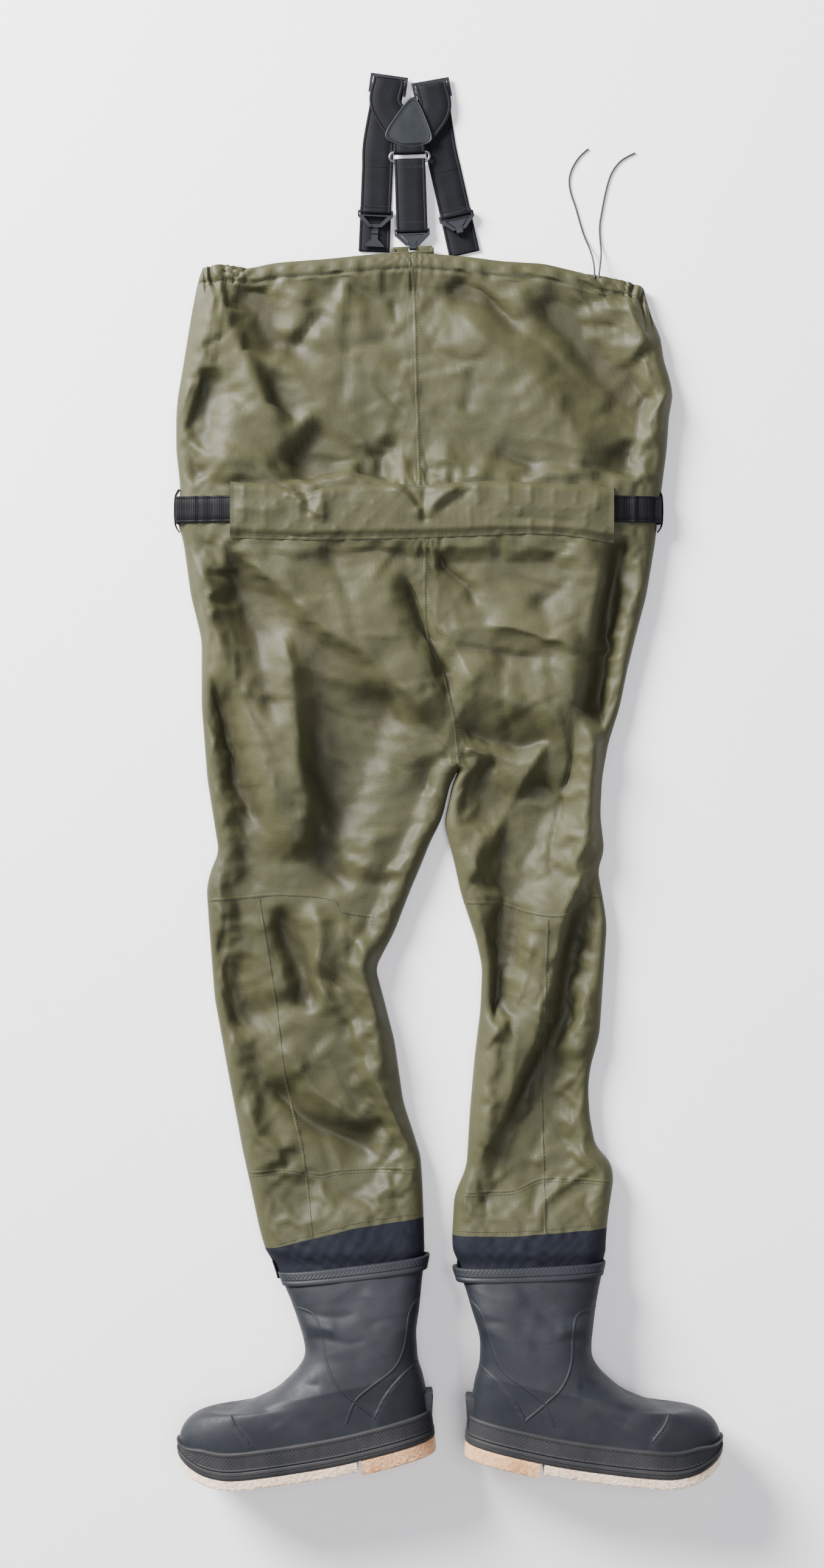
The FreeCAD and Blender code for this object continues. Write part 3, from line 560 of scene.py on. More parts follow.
def half_layers(side):
    """Grids of one half's upper and lower layers, side edge first, and how free each upper point is."""
    left = side == "left"
    share = column_places()
    y = np.repeat(ROWS[:, None], COLUMNS + 1, axis=1)
    above = ROWS >= CROTCH_Y
    outer = across(LEFT_SIDE if left else RIGHT_SIDE, ROWS)
    inner = np.where(above, across(SEAM, np.maximum(ROWS, CROTCH_Y)),
                     across(LEFT_INNER if left else RIGHT_INNER, np.minimum(ROWS, CROTCH_Y)))
    if not left:
        inner = inner + np.where(above, 0, 0.8)
    x = outer[:, None] + (inner - outer)[:, None] * share
    fabric_end = up(LEFT_FABRIC_END if left else RIGHT_FABRIC_END, x)
    band_end = up(LEFT_BAND_END if left else RIGHT_BAND_END, x)
    top_share = smoothstep(y, 470, HEM_Y)
    end_share = smoothstep(y, -420, FABRIC_END_Y)
    band_share = np.clip((FABRIC_END_Y - y) / (FABRIC_END_Y - BAND_END_Y), 0, 1)
    shift = top_share * (up(HEM_LINE, x) - HEM_Y)
    shift += end_share * (1 - band_share) * (fabric_end - FABRIC_END_Y) + band_share * (band_end - BAND_END_Y)
    place_y = y + shift

    heights = [row[0] for row in SECTIONS][::-1]
    crown, shoulder, edge, radius = [np.interp(y, heights, [row[k] for row in SECTIONS][::-1])
                                     for k in (1, 2, 3, 4)]
    from_outer = np.abs(x - outer[:, None])
    from_inner = np.abs(x - inner[:, None])
    legs = smoothstep(-y, -70, -CROTCH_Y)
    nearest = np.minimum(from_outer, from_inner + (1 - legs) * 400)

    def quarter(distance, reach):
        q = np.clip(distance / reach, 0, 1)
        return np.sqrt(1 - (1 - q) ** 2)

    top = edge + (shoulder - edge) * quarter(nearest, radius)
    top += (crown - shoulder) * smoothstep(nearest, 0, 90)
    floor = (1.0 + 2.6 * smoothstep(y, 250, 290) * (1 - smoothstep(y, 360, 400))
             + 2.6 * smoothstep(y, 530, 575))
    floor += 9.5 * np.exp(-((x - BUCKLE[0]) / 84) ** 4 - ((y - BUCKLE[1]) / 34) ** 4)
    bottom = floor + (edge - floor) * (1 - quarter(nearest, radius * 0.8))

    inside = smoothstep(nearest, 0, 24)
    flat = 1 - 0.75 * smoothstep(y, 268, 284) * (1 - smoothstep(y, 346, 358))
    calm = smoothstep(y, BAND_END_Y, -500)
    depth = HEM_Y - y
    hem_calm = 0.25 + 0.75 * smoothstep(depth, 8, 40)
    folds = fold_height(x.ravel(), place_y.ravel(), FOLDS, 150.0).reshape(x.shape)
    folds = FOLD_LIMIT * np.tanh(FOLD_SCALE * folds / FOLD_LIMIT)
    top += inside * flat * calm * hem_calm * (folds + crumple(x, place_y))
    raised = crumple(x + UNDERSIDE_SHIFT, place_y)
    bottom += UNDERSIDE_RISE * inside * flat * calm * hem_calm * (raised + np.sqrt(raised ** 2 + 0.5))
    least = bottom + 3.0 * quarter(nearest, 12)
    gap = top - least
    top = least + 0.5 * (gap + np.sqrt(gap ** 2 + 16))
    top = np.where(nearest < 0.01, edge, top)
    bottom = np.where(nearest < 0.01, edge, bottom)
    tuck = smoothstep(-place_y, 578, 598)
    top -= 4.0 * tuck
    bottom += 5.0 * tuck
    middle = (outer + inner)[:, None] / 2
    x = middle + (x - middle) * (1 - 0.055 * tuck)
    upper = np.stack([x, place_y, top], axis=-1)
    lower = np.stack([x, place_y, bottom], axis=-1)
    free = inside * flat * calm * smoothstep(depth, 4, 30)
    return upper, lower, free, (x, y, nearest, depth)


def settle(upper_left, upper_right, free_left, free_right):
    """Lets a coarse copy of the upper layer buckle as loose cloth, and returns how far each point moved."""
    step = 2
    rows = np.r_[np.arange(0, len(ROWS), step)]
    left = upper_left[rows][:, ::step]
    right = upper_right[rows][:, ::step]
    free = np.concatenate([free_left[rows][:, ::step], free_right[rows][:, ::step]], axis=None)
    count_rows, count_columns = left.shape[:2]
    points = np.vstack([left.reshape(-1, 3), right.reshape(-1, 3)])
    quads = np.vstack([grid_faces(count_rows, count_columns, 0, False),
                       grid_faces(count_rows, count_columns, count_rows * count_columns, True)])
    _, first, welded = np.unique(np.round(points, 2), axis=0, return_index=True, return_inverse=True)
    welded = welded.reshape(-1)
    cloth = add_object("settling", points[first], welded[quads], NYLON)
    pins = cloth.vertex_groups.new(name="pins")
    for index, hold in enumerate(1 - free[first]):
        pins.add([index], float(hold), "REPLACE")
    modifier = cloth.modifiers.new("cloth", "CLOTH")
    settings = modifier.settings
    settings.quality = 5
    settings.mass = 0.12
    settings.tension_stiffness = 25
    settings.compression_stiffness = 25
    settings.shear_stiffness = 12
    settings.bending_stiffness = 1.5
    settings.tension_damping = settings.compression_damping = settings.shear_damping = 8
    settings.air_damping = 4
    settings.shrink_min = -CLOTH_GROWTH
    settings.vertex_group_mass = "pins"
    settings.pin_stiffness = 1.0
    settings.effector_weights.gravity = 0.25
    for number in range(1, SETTLE_FRAMES + 1):
        bpy.context.scene.frame_set(number)
    depsgraph = bpy.context.evaluated_depsgraph_get()
    result = cloth.evaluated_get(depsgraph).to_mesh()
    moved = np.zeros(len(result.vertices) * 3)
    result.vertices.foreach_get("co", moved)
    moved = moved.reshape(-1, 3) / MM - points[first]
    bpy.context.scene.frame_set(1)
    bpy.data.objects.remove(cloth)
    moved = np.clip(moved, -SETTLE_LIMIT, SETTLE_LIMIT)[welded]
    half = count_rows * count_columns
    grids = (moved[:half].reshape(count_rows, count_columns, 3),
             moved[half:].reshape(count_rows, count_columns, 3))
    return [spread(grid, rows, upper_left.shape[:2]) for grid in grids]


def spread(grid, rows, shape):
    """Values on a coarse grid brought to every row and column."""
    all_rows = np.arange(shape[0])
    all_columns = np.arange(shape[1])
    columns = np.arange(0, shape[1], 2)
    wide = np.stack([np.stack([np.interp(all_columns, columns, row) for row in grid[..., k]])
                     for k in range(3)], -1)
    tall = np.stack([np.stack([np.interp(all_rows, rows, column) for column in wide[..., k].T]).T
                     for k in range(3)], -1)
    return tall


def local_mean(grid, reach):
    """Mean of each point's neighbourhood in a grid."""
    for axis in (0, 1):
        padded = np.concatenate([np.repeat(np.take(grid, [0], axis), reach, axis), grid,
                                 np.repeat(np.take(grid, [-1], axis), reach, axis)], axis)
        sums = np.cumsum(padded, axis)
        zero = np.zeros_like(np.take(sums, [0], axis))
        sums = np.concatenate([zero, sums], axis)
        count = grid.shape[axis]
        window = 2 * reach + 1
        grid = (np.take(sums, range(window, window + count), axis)
                - np.take(sums, range(count), axis)) / window
    return grid


def finish_layers(upper, lower, places):
    """Adds the drawcord casing and its gathers, keeps the layers apart and finds the bottoms of the folds,
    where shade is painted.
    """
    x, y, nearest, depth = places
    top = upper[..., 2].copy()
    top += smoothstep(nearest, 0, 6) * gathers(x, depth) * smoothstep(y, 480, 520)
    flat = 1 - smoothstep(y, 268, 284) * (1 - smoothstep(y, 346, 358))
    fine = fold_height(x.ravel(), upper[..., 1].ravel(), random_creases()).reshape(x.shape)
    top += (fine * smoothstep(nearest, 2, 14) * flat * smoothstep(depth, 20, 34)
            * smoothstep(y, FABRIC_END_Y, -530))
    in_band = (depth < HEM_BAND) * np.sin(math.pi * np.clip(depth / HEM_BAND, 0, 1))
    top += smoothstep(nearest, 0, 4) * (1.8 * in_band - 1.2 * np.exp(-((depth - HEM_BAND) / 2.2) ** 2))
    least = lower[..., 2] + 2.5 * smoothstep(nearest, 0, 10)
    top = np.maximum(top, least)
    upper[..., 2] = np.where(nearest < 0.01, lower[..., 2], top)
    # Painted shade: points lying below their neighbours get a darker cloth colour, standing in for the shade
    # in the folds' bottoms.
    hollow = local_mean(top, 7) - top + 0.6 * (local_mean(top, 3) - top)
    painted_fold_shade = smoothstep(hollow, 0.0, 9.0) * smoothstep(nearest, 2, 14)
    return upper, lower[:, ::2], painted_fold_shade


def both_halves():
    halves = {side: half_layers(side) for side in ("left", "right")}
    moved = settle(halves["left"][0], halves["right"][0], halves["left"][2], halves["right"][2])
    for side, shift in zip(("left", "right"), moved):
        halves[side][0][...] += shift * smoothstep(halves[side][3][2], 0, 42)[..., None]
    return {side: finish_layers(parts[0], parts[1], parts[3]) for side, parts in halves.items()}


def grid_faces(rows, columns, start, flip):
    """Quads of a grid of points stored row by row."""
    r, c = np.meshgrid(np.arange(rows - 1), np.arange(columns - 1), indexing="ij")
    a = start + r * columns + c
    quads = np.stack([a, a + columns, a + columns + 1, a + 1], axis=-1).reshape(-1, 4)
    return quads[:, ::-1] if flip else quads


def garment_surface():
    """Whole outside surface: welded points, their painted shade, quads, and each quad's row, half and layer.
    """
    points, quads, rows_of, half_of, layer_of, painted_fold_shades = [], [], [], [], [], []
    start = 0
    layers = both_halves()
    for side in ("left", "right"):
        upper, lower, painted_fold_shade = layers[side]
        # The lower layer gets a fifth of the painted fold shade.
        for layer, grid, dark in (("upper", upper, painted_fold_shade), ("lower", lower, 0.2 * painted_fold_shade[:, ::2])):
            painted_fold_shades.append(dark.ravel())
            rows, columns = grid.shape[:2]
            faces = grid_faces(rows, columns, start, (side == "right") != (layer == "lower"))
            points.append(grid.reshape(-1, 3))
            quads.append(faces)
            rows_of.append(np.repeat(np.arange(rows - 1), columns - 1))
            half_of += [side] * len(faces)
            layer_of += [layer] * len(faces)
            start += rows * columns
    points = np.vstack(points)
    quads = np.vstack(quads)
    _, first, welded = np.unique(np.round(points, 2), axis=0, return_index=True, return_inverse=True)
    painted_fold_shades = np.concatenate(painted_fold_shades)[first]
    quads = welded.reshape(-1)[quads]
    return points[first], painted_fold_shades, quads, np.concatenate(rows_of), np.array(half_of), np.array(layer_of)


def vertex_normals(points, quads):
    normals = np.zeros_like(points)
    diagonal_a = points[quads[:, 2]] - points[quads[:, 0]]
    diagonal_b = points[quads[:, 3]] - points[quads[:, 1]]
    face = np.cross(diagonal_a, diagonal_b)
    for corner in range(4):
        np.add.at(normals, quads[:, corner], face)
    return normals / np.maximum(np.linalg.norm(normals, axis=1), 1e-9)[:, None]


def shell(name, points, normals, quads, wall, mat, painted_fold_shade=None):
    """A closed sheet of some of the surface's quads, thick to the inside, shaded as the whole is."""
    used, local = np.unique(quads, return_inverse=True)
    local = local.reshape(-1, 4)
    count = len(used)
    outside, out_normals = points[used], normals[used]
    inside = outside - out_normals * wall
    edges = np.concatenate([local[:, [k, (k + 1) % 4]] for k in range(4)])
    keys = np.sort(edges, axis=1)
    _, first, times = np.unique(keys, axis=0, return_index=True, return_counts=True)
    rim = edges[first[times == 1]]
    faces = [list(f) for f in local] + [list(f[::-1] + count) for f in local]
    faces += [[b, a, a + count, b + count] for a, b in rim]
    obj = add_object(name, np.vstack([outside, inside]), faces, mat)
    mesh = obj.data
    both = np.vstack([out_normals, -out_normals])
    loops = []
    for polygon in mesh.polygons:
        if polygon.index < 2 * len(local):
            loops += [both[mesh.loops[i].vertex_index] for i in polygon.loop_indices]
        else:
            loops += [polygon.normal] * polygon.loop_total
    mesh.normals_split_custom_set([tuple(n) for n in loops])
    # Painted fold shade for the cloth's colour, stored on the points of both faces.
    if painted_fold_shade is not None:
        attribute = mesh.attributes.new("painted_fold_shade", "FLOAT", "POINT")
        attribute.data.foreach_set("value", np.concatenate([painted_fold_shade[used], painted_fold_shade[used]]).astype(np.float32))
    return obj


WALL = 0.9


def make_garment():
    """The sewn cloth in pieces split at the hips and knees. Returns the pieces' shared surface."""
    points, painted_fold_shade, quads, rows, half, layer = garment_surface()
    normals = vertex_normals(points, quads)
    row_y = ROWS[rows]
    hem = row_y > HEM_Y - HEM_BAND + 0.1
    torso = (row_y > CROTCH_Y) & ~hem
    thigh = (row_y <= CROTCH_Y) & (row_y > KNEE_SPLIT_Y)
    shin = (row_y <= KNEE_SPLIT_Y) & (row_y > FABRIC_END_Y)
    band = row_y <= FABRIC_END_Y

    def cloth(name, chosen, *nodes):
        piece = shell(name, points, normals, quads[chosen], WALL, NYLON, painted_fold_shade)
        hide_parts(*nodes)
        return piece

    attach(cloth("chest_hem_casing", hem, "chest_hem", "hidden_drawcord"), "torso")
    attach(cloth("torso_cloth", torso, "back_panel_left", "back_panel_right", "front_panel"), "torso")
    for side in ("left", "right"):
        mine = half == side
        upper_leg = cloth(side + "_thigh_cloth", thigh & mine, side + "_thigh_back", side + "_thigh_front")
        bend_hip(upper_leg)
        lower_leg = cloth(side + "_shin_cloth", shin & mine, side + "_shin_back", side + "_shin_front")
        bend_knee(lower_leg)
        cuff = shell(side + "_ankle_neoprene", points, normals, quads[band & mine], 3.0, NEOPRENE)
        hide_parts(side + "_ankle_band")
        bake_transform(cuff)
    back = quads[layer == "upper"]
    return BVHTree.FromPolygons([tuple(p) for p in points], [tuple(q) for q in back])


def bend_hip(piece):
    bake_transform(piece)


def bend_knee(piece):
    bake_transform(piece)


# ---- things sewn on the cloth ---------------------------------------------------------------------
def drop(surface, x, y):
    """Point and normal of a surface straight below a place in plan."""
    place, normal, _, _ = surface.ray_cast(Vector((x, y, 200.0)), Vector((0, 0, -1)))
    return (np.array(place), np.array(normal)) if place is not None else (None, None)


def path_on(surface, line, step):
    """Points, normals and directions along a line laid on a surface."""
    spots = [drop(surface, x, y) for x, y in smooth_line(line, step)]
    spots = [s for s in spots if s[0] is not None]
    places = np.array([s[0] for s in spots])
    normals = np.array([s[1] for s in spots])
    directions = np.gradient(places, axis=0)
    directions /= np.linalg.norm(directions, axis=1)[:, None]
    return places, normals, directions


def laid_strip(name, surface, line, profile, mat):
    """Strip sewn on a surface; its profile is (distance across, height) pairs."""
    places, normals, directions = path_on(surface, line, 3.0)
    sideways = np.cross(directions, normals)
    rows = [places + sideways * across_by + normals * height for across_by, height in profile]
    grid = np.stack(rows, axis=1)
    quads = grid_faces(len(places), len(profile), 0, True)
    return add_object(name, grid.reshape(-1, 3), quads, mat)


SEAM_PROFILE = [(-2.2, -0.6), (-1.9, 0.25), (-1.4, 0.4), (0.9, 0.4), (1.3, 0.2), (1.5, -0.6)]


def stitches(name, surface, lines, pitch=3.4, long=2.3, wide=0.55, lift=0.25, mat=None):
    """Rows of thread stitches on a surface, each a small bead lying along its line."""
    ring = [(0.0, 1.0), (0.87, 0.5), (0.87, -0.5), (0.0, -1.0), (-0.87, -0.5), (-0.87, 0.5)]
    profile = [(-0.5, 0.35), (-0.3, 1.0), (0.3, 1.0), (0.5, 0.35)]
    verts, faces = [], []
    for line in lines:
        places, normals, directions = path_on(surface, line, pitch)
        for place, normal, direction in zip(places, normals, directions):
            sideways = np.cross(direction, normal)
            start = len(verts)
            for along, swell in profile:
                for u, v in ring:
                    offset = sideways * u * wide / 2 * swell + normal * (v * wide / 2 * swell + lift)
                    verts.append(place + direction * along * long + offset)
            for k in range(3):
                for i in range(6):
                    a, b = start + 6 * k + i, start + 6 * k + (i + 1) % 6
                    faces.append((a, b, b + 6, a + 6))
            faces.append(tuple(start + i for i in range(6))[::-1])
            faces.append(tuple(start + 18 + i for i in range(6)))
    return add_object(name, verts, faces, mat or THREAD)


LEFT_KNEE_SEAM = [(-288, -157), (-240, -153), (-198, -150), (-141, -155), (-127, -170), (-88, -177)]
RIGHT_KNEE_SEAM = [(22, -160), (65, -161), (102, -172), (144, -174), (174, -154), (192, -153)]
LEFT_SHIN_SEAM = [(-228, -155), (-209, -273), (-194, -385), (-175, -460), (-162, -562)]
RIGHT_SHIN_SEAM = [(122, -180), (119, -287), (118, -362), (116, -400), (119, -557)]
LEFT_CUFF_SEAM = [(-237, -487), (-191, -483), (-154, -489), (-131, -485), (-69, -482), (-36, -482)]
RIGHT_CUFF_SEAM = [(24, -510), (80, -508), (122, -494), (198, -497)]
CENTRE_LINE = [(-41, 628), (-33, 347)], [(-26, 278), (-25, 175), (-4, 120), (9, 60), (13, 23), (14.5, 6)]


def lowered(line, distance):
    return [(x, y - distance) for x, y in line]


def make_seams(surface):
    for number, line in enumerate(CENTRE_LINE):
        seam = laid_strip("centre_back_seam_" + str(number + 1), surface, line, SEAM_PROFILE, NYLON)
        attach(seam, "torso")
    sewn = stitches("centre_back_stitching", surface,
                    [[(x + 2.2, y) for x, y in line] for line in CENTRE_LINE], lift=0.8)
    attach(sewn, "torso")
    hem_stitch = lowered(HEM_LINE[2:-1], HEM_BAND)
    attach(stitches("hem_stitching", surface, [hem_stitch], lift=0.1), "torso")
    for side, knee, shin, cuff, end in (
            ("left", LEFT_KNEE_SEAM, LEFT_SHIN_SEAM, LEFT_CUFF_SEAM, LEFT_FABRIC_END),
            ("right", RIGHT_KNEE_SEAM, RIGHT_SHIN_SEAM, RIGHT_CUFF_SEAM, RIGHT_FABRIC_END)):
        inset = [(x + 8, y + 6) for x, y in end[:1]] + [(x, y + 6) for x, y in end[1:-1]]
        inset += [(x - 8, y + 6) for x, y in end[-1:]]
        pieces = [laid_strip(side + "_knee_seam", surface, knee, SEAM_PROFILE, NYLON),
                  laid_strip(side + "_shin_seam", surface, shin, SEAM_PROFILE, NYLON),
                  laid_strip(side + "_cuff_edge", surface, cuff, SEAM_PROFILE, NYLON),
                  stitches(side + "_leg_stitching", surface,
                           [lowered(knee, 1.2), [(x + 1.2, y) for x, y in shin], lowered(cuff, 4), inset],
                           lift=0.6)]
        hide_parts(side + "_cuff_patch")
        for piece in pieces:
            bend_knee(piece)


# ---- lofted pieces ---------------------------------------------------------------------------------
def face_outward(obj, sharp=45.0):
    work = bmesh.new()
    work.from_mesh(obj.data)
    bmesh.ops.recalc_face_normals(work, faces=work.faces)
    work.to_mesh(obj.data)
    work.free()
    obj.data.set_sharp_from_angle(angle=math.radians(sharp))
    return obj


def loft(name, loops, mat, joined=False, sharp=45.0):
    """Solid through loops of points; an open one is capped by strips across each end loop."""
    loops = np.asarray(loops)
    rows, count = loops.shape[:2]
    faces = []
    for k in range(rows if joined else rows - 1):
        low, high = k * count, (k + 1) % rows * count
        for i in range(count):
            j = (i + 1) % count
            faces.append((low + i, low + j, high + j, high + i))
    if not joined:
        for base in (0, (rows - 1) * count):
            for i in range(count // 2 - 1):
                faces.append((base + i, base + i + 1, base + count - 2 - i, base + count - 1 - i))
    return face_outward(add_object(name, loops.reshape(-1, 3), faces, mat), sharp)


def surface_of(*objs):
    """Meshes as one surface in millimetres, to lay things on."""
    points, faces = [], []
    for obj in objs:
        start = len(points)
        points += [tuple(v.co / MM) for v in obj.data.vertices]
        faces += [tuple(start + i for i in p.vertices) for p in obj.data.polygons]
    return BVHTree.FromPolygons(points, faces)


def placed(points, where):
    """Points in the layout's local directions brought to the frame: where is x, y and turn in degrees."""
    x, y, turn = where
    cos, sin = math.cos(math.radians(turn)), math.sin(math.radians(turn))
    p = np.asarray(points, float)
    turned = np.stack([cos * p[..., 0] - sin * p[..., 1], sin * p[..., 0] + cos * p[..., 1], p[..., 2]],
                      axis=-1)
    return turned + np.array([x, y, 0.0]) + SHIFT


def bevelled_boxes(name, boxes, where, mat, width=0.4):
    """Boxes (x0, x1, y0, y1, z0, z1) with rounded edges, as one piece."""
    verts, faces = [], []
    for x0, x1, y0, y1, z0, z1 in boxes:
        start = len(verts)
        verts += [(x, y, z) for z in (z0, z1) for x, y in ((x0, y0), (x1, y0), (x1, y1), (x0, y1))]
        faces += [tuple(start + i for i in f)
                  for f in ((0, 3, 2, 1), (4, 5, 6, 7), (0, 1, 5, 4), (1, 2, 6, 5),
                                                        (2, 3, 7, 6), (3, 0, 4, 7))]
    obj = add_object(name, placed(verts, where), faces, mat)
    round_edges(obj, width)
    return obj


def round_edges(obj, width):
    modifier = obj.modifiers.new("rounded", "BEVEL")
    modifier.width = width * MM
    modifier.segments = 2
    modifier.limit_method = "ANGLE"
    modifier.angle_limit = math.radians(40)


# ---- webbing -----------------------------------------------------------------------------------------
def webbing(name, path, sideways, width, thick, mat, joined=False, ribs=0.0, rib_pitch=2.2):
    """Strap along a path, with woven edges; ribs across it have a height."""
    path, sideways = np.asarray(path, float), np.asarray(sideways, float)
    if joined:
        direction = np.roll(path, -1, axis=0) - np.roll(path, 1, axis=0)
    else:
        direction = np.gradient(path, axis=0)
    direction /= np.linalg.norm(direction, axis=1)[:, None]
    normal = np.cross(direction, sideways)
    steps = np.linalg.norm(np.diff(path, axis=0), axis=1)
    along = np.concatenate([[0], np.cumsum(steps)])
    rib = ribs * np.sin(2 * math.pi * along / rib_pitch)
    shares = [-1, -0.96, -0.84, -0.80, -0.76, -0.3, 0.3, 0.76, 0.80, 0.84, 0.96, 1]
    depths = [0.22, 0.46, 0.5, 0.30, 0.5, 0.5, 0.5, 0.5, 0.30, 0.5, 0.46, 0.22]
    upper = [path + sideways * (u * width / 2) + normal * (d * thick + rib * (abs(u) < 0.9))[:, None]
             for u, d in zip(shares, depths)]
    lower = [path + sideways * (u * width / 2) - normal * (d * thick + rib * (abs(u) < 0.9))[:, None]
             for u, d in zip(shares, depths)]
    return loft(name, np.stack(upper + lower[::-1], axis=1), mat, joined)


def arc(y, z, radius, start, end, count=9):
    """Points (0, y, z) round a bar that lies along local X; angles are in degrees."""
    return [(0, y + radius * math.cos(math.radians(t)), z + radius * math.sin(math.radians(t)))
            for t in np.linspace(start, end, count)]


def straight(y0, y1, z, step=4.0):
    count = max(2, int(abs(y1 - y0) / step))
    return [(0, y, z) for y in np.linspace(y0, y1, count + 1)[1:-1]]


def local_side(where, count):
    angle = math.radians(where[2])
    return [(math.cos(angle), math.sin(angle), 0.0)] * count


CLIP_Z = 7.8
RING_Z = 4.7
STRAP = 38.0
STRAP_T = 1.8
FRONT_LEN = 102.0
SLACK = 5.2                              # the webbing's fold stands this far past the ring's bar
YOKE_RING_Y = 111.0
CENTRE_STRAP = (-44.0, 646.0, 1.9)
RINGS = {"left": (-74.0, 843.0, -8.0), "right": (-20.0, 837.0, 10.0)}
FRONT_STRAPS = {"left": (-91.0, 643.5, -2.3), "right": (19.0, 641.0, 12.6)}
YOKE_ENDS = {"left": (-57.0, 788.0, 8.5), "right": (-34.0, 788.0, 6.9)}


def make_centre_strap():
    radius = 1.9 + STRAP_T / 2
    low, high = 21.0, YOKE_RING_Y - 6.0
    path = arc(low, CLIP_Z, radius, 90, 270) + straight(low, high, CLIP_Z - radius)
    path += arc(high, CLIP_Z, radius, -90, 90) + straight(high, low, CLIP_Z + radius)
    strap = webbing("centre_strap_webbing", placed(path, CENTRE_STRAP), local_side(CENTRE_STRAP, len(path)),
                    STRAP, STRAP_T, ELASTIC, joined=True)
    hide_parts("centre_strap")
    top = YOKE_RING_Y + 6.0
    path = straight(top + 13, top, CLIP_Z + radius, 3.0) + arc(top, CLIP_Z, radius, 90, 270)
    path += straight(top, top + 13, CLIP_Z - radius, 3.0)
    loop = webbing("yoke_loop_webbing", placed(path, CENTRE_STRAP), local_side(CENTRE_STRAP, len(path)),
                   STRAP, STRAP_T, ELASTIC)
    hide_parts("yoke_loop_strap")
    rows = []
    for y in (high - 6.5, high - 8.5, low + 9.0):
        rows.append(placed([(-17, y, 0), (17, y, 0)], CENTRE_STRAP)[:, :2])
    sewn = stitches("centre_strap_stitching", surface_of(strap), rows, 2.6, 1.9, 0.5, 0.1, SELVEDGE)
    for piece in (strap, loop, sewn):
        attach(piece, "suspenders")


def point_on(where, along, height):
    x, y, turn = where
    angle = math.radians(turn)
    return (x - along * math.sin(angle), y + along * math.cos(angle), height)


def plan_run(points, toward_ring):
    """Samples a route in the layout and the strap's sideways direction along it."""
    line = smooth_line(points, 3.0)
    direction = np.gradient(line, axis=0)[:, :2]
    direction /= np.linalg.norm(direction, axis=1)[:, None]
    sign = 1.0 if toward_ring else -1.0
    side = np.stack([direction[:, 1] * sign, -direction[:, 0] * sign, np.zeros(len(line))], axis=1)
    return line + SHIFT, side


def make_shoulder_strap(side):
    ring, front = RINGS[side], FRONT_STRAPS[side]
    radius = RING_Z - STRAP_T / 2
    upper, upper_side = plan_run([YOKE_ENDS[side], point_on(ring, -22, 8.5),
                                  point_on(ring, SLACK - 0.5, 8.5)], True)
    lower, lower_side = plan_run([point_on(ring, SLACK - 0.5, 0.9), point_on(ring, -12, 0.9),
                                  point_on(front, FRONT_LEN + 30, 0.9),
                                  point_on(front, FRONT_LEN + 0.1, 0.9)], False)
    bend = placed(arc(SLACK, RING_Z, radius, 80, -80, 11), ring)
    path = np.vstack([upper, bend, lower])
    across_path = np.vstack([upper_side, local_side(ring, len(bend)), lower_side])
    strap = webbing(side + "_shoulder_webbing", path, across_path, STRAP, STRAP_T, ELASTIC)
    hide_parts(side + "_shoulder_strap")
    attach(strap, "suspenders")


def make_front_strap(side):
    where = FRONT_STRAPS[side]
    upper_z, bar_y = 3.0, 46.0
    path = [(0, FRONT_LEN - 0.2, 0.9)] + straight(FRONT_LEN, 0, 0.9) + arc(0, 1.95, 1.05, 270, 90)
    path += straight(0, bar_y, upper_z) + arc(bar_y, CLIP_Z, CLIP_Z - upper_z, -90, 100, 13)
    strap = webbing(side + "_front_webbing", placed(path, where), local_side(where, len(path)),
                    STRAP, STRAP_T, ELASTIC)
    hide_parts(side + "_front_strap")
    rows = [placed([(-17, y, 0), (17, y, 0)], where)[:, :2] for y in (52.0, 54.2)]
    sewn = stitches(side + "_front_stitching", surface_of(strap), rows, 2.6, 1.9, 0.5, 0.1, SELVEDGE)
    for piece in (strap, sewn):
        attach(piece, side + "_front")


PATCH_CORNERS = [(-48, 829), (-38, 829), (-18, 780), (-23, 772), (-46, 766), (-73, 774), (-80, 784)]
PATCH_LEVELS = [(0.99, 7.0), (1.0, 7.6), (1.0, 10.9), (0.985, 11.6), (0.955, 11.8), (0.93, 11.3),
                (0.90, 11.1),
                (0.70, 11.3), (0.35, 11.7), (0.08, 11.8)]


def make_yoke_patch():
    line = np.array(PATCH_CORNERS, float)
    for _ in range(3):
        following = np.roll(line, -1, axis=0)
        line = np.stack([0.78 * line + 0.22 * following, 0.22 * line + 0.78 * following],
                        axis=1).reshape(-1, 2)
    centre = line.mean(axis=0)
    loops = [[(*(centre + (p - centre) * share), z) for p in line] for share, z in PATCH_LEVELS]
    patch = loft("yoke_leather_patch", np.array(loops) + SHIFT, PATCH, sharp=60.0)
    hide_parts("yoke_patch")
    ring = centre + (np.vstack([line, line[:1]]) - centre) * 0.88 + SHIFT[:2]
    sewn = stitches("yoke_patch_stitching", surface_of(patch), [ring], 2.6, 1.8, 0.5, 0.1, ELASTIC)
    for piece in (patch, sewn):
        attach(piece, "suspenders")


# ---- belt, tunnel and loops ---------------------------------------------------------------------------
BELT_Y = 317.3
BELT_WIDTH = 32.0
BUCKLE_LEFT = -64.0
BUCKLE_RIGHT = 10.0


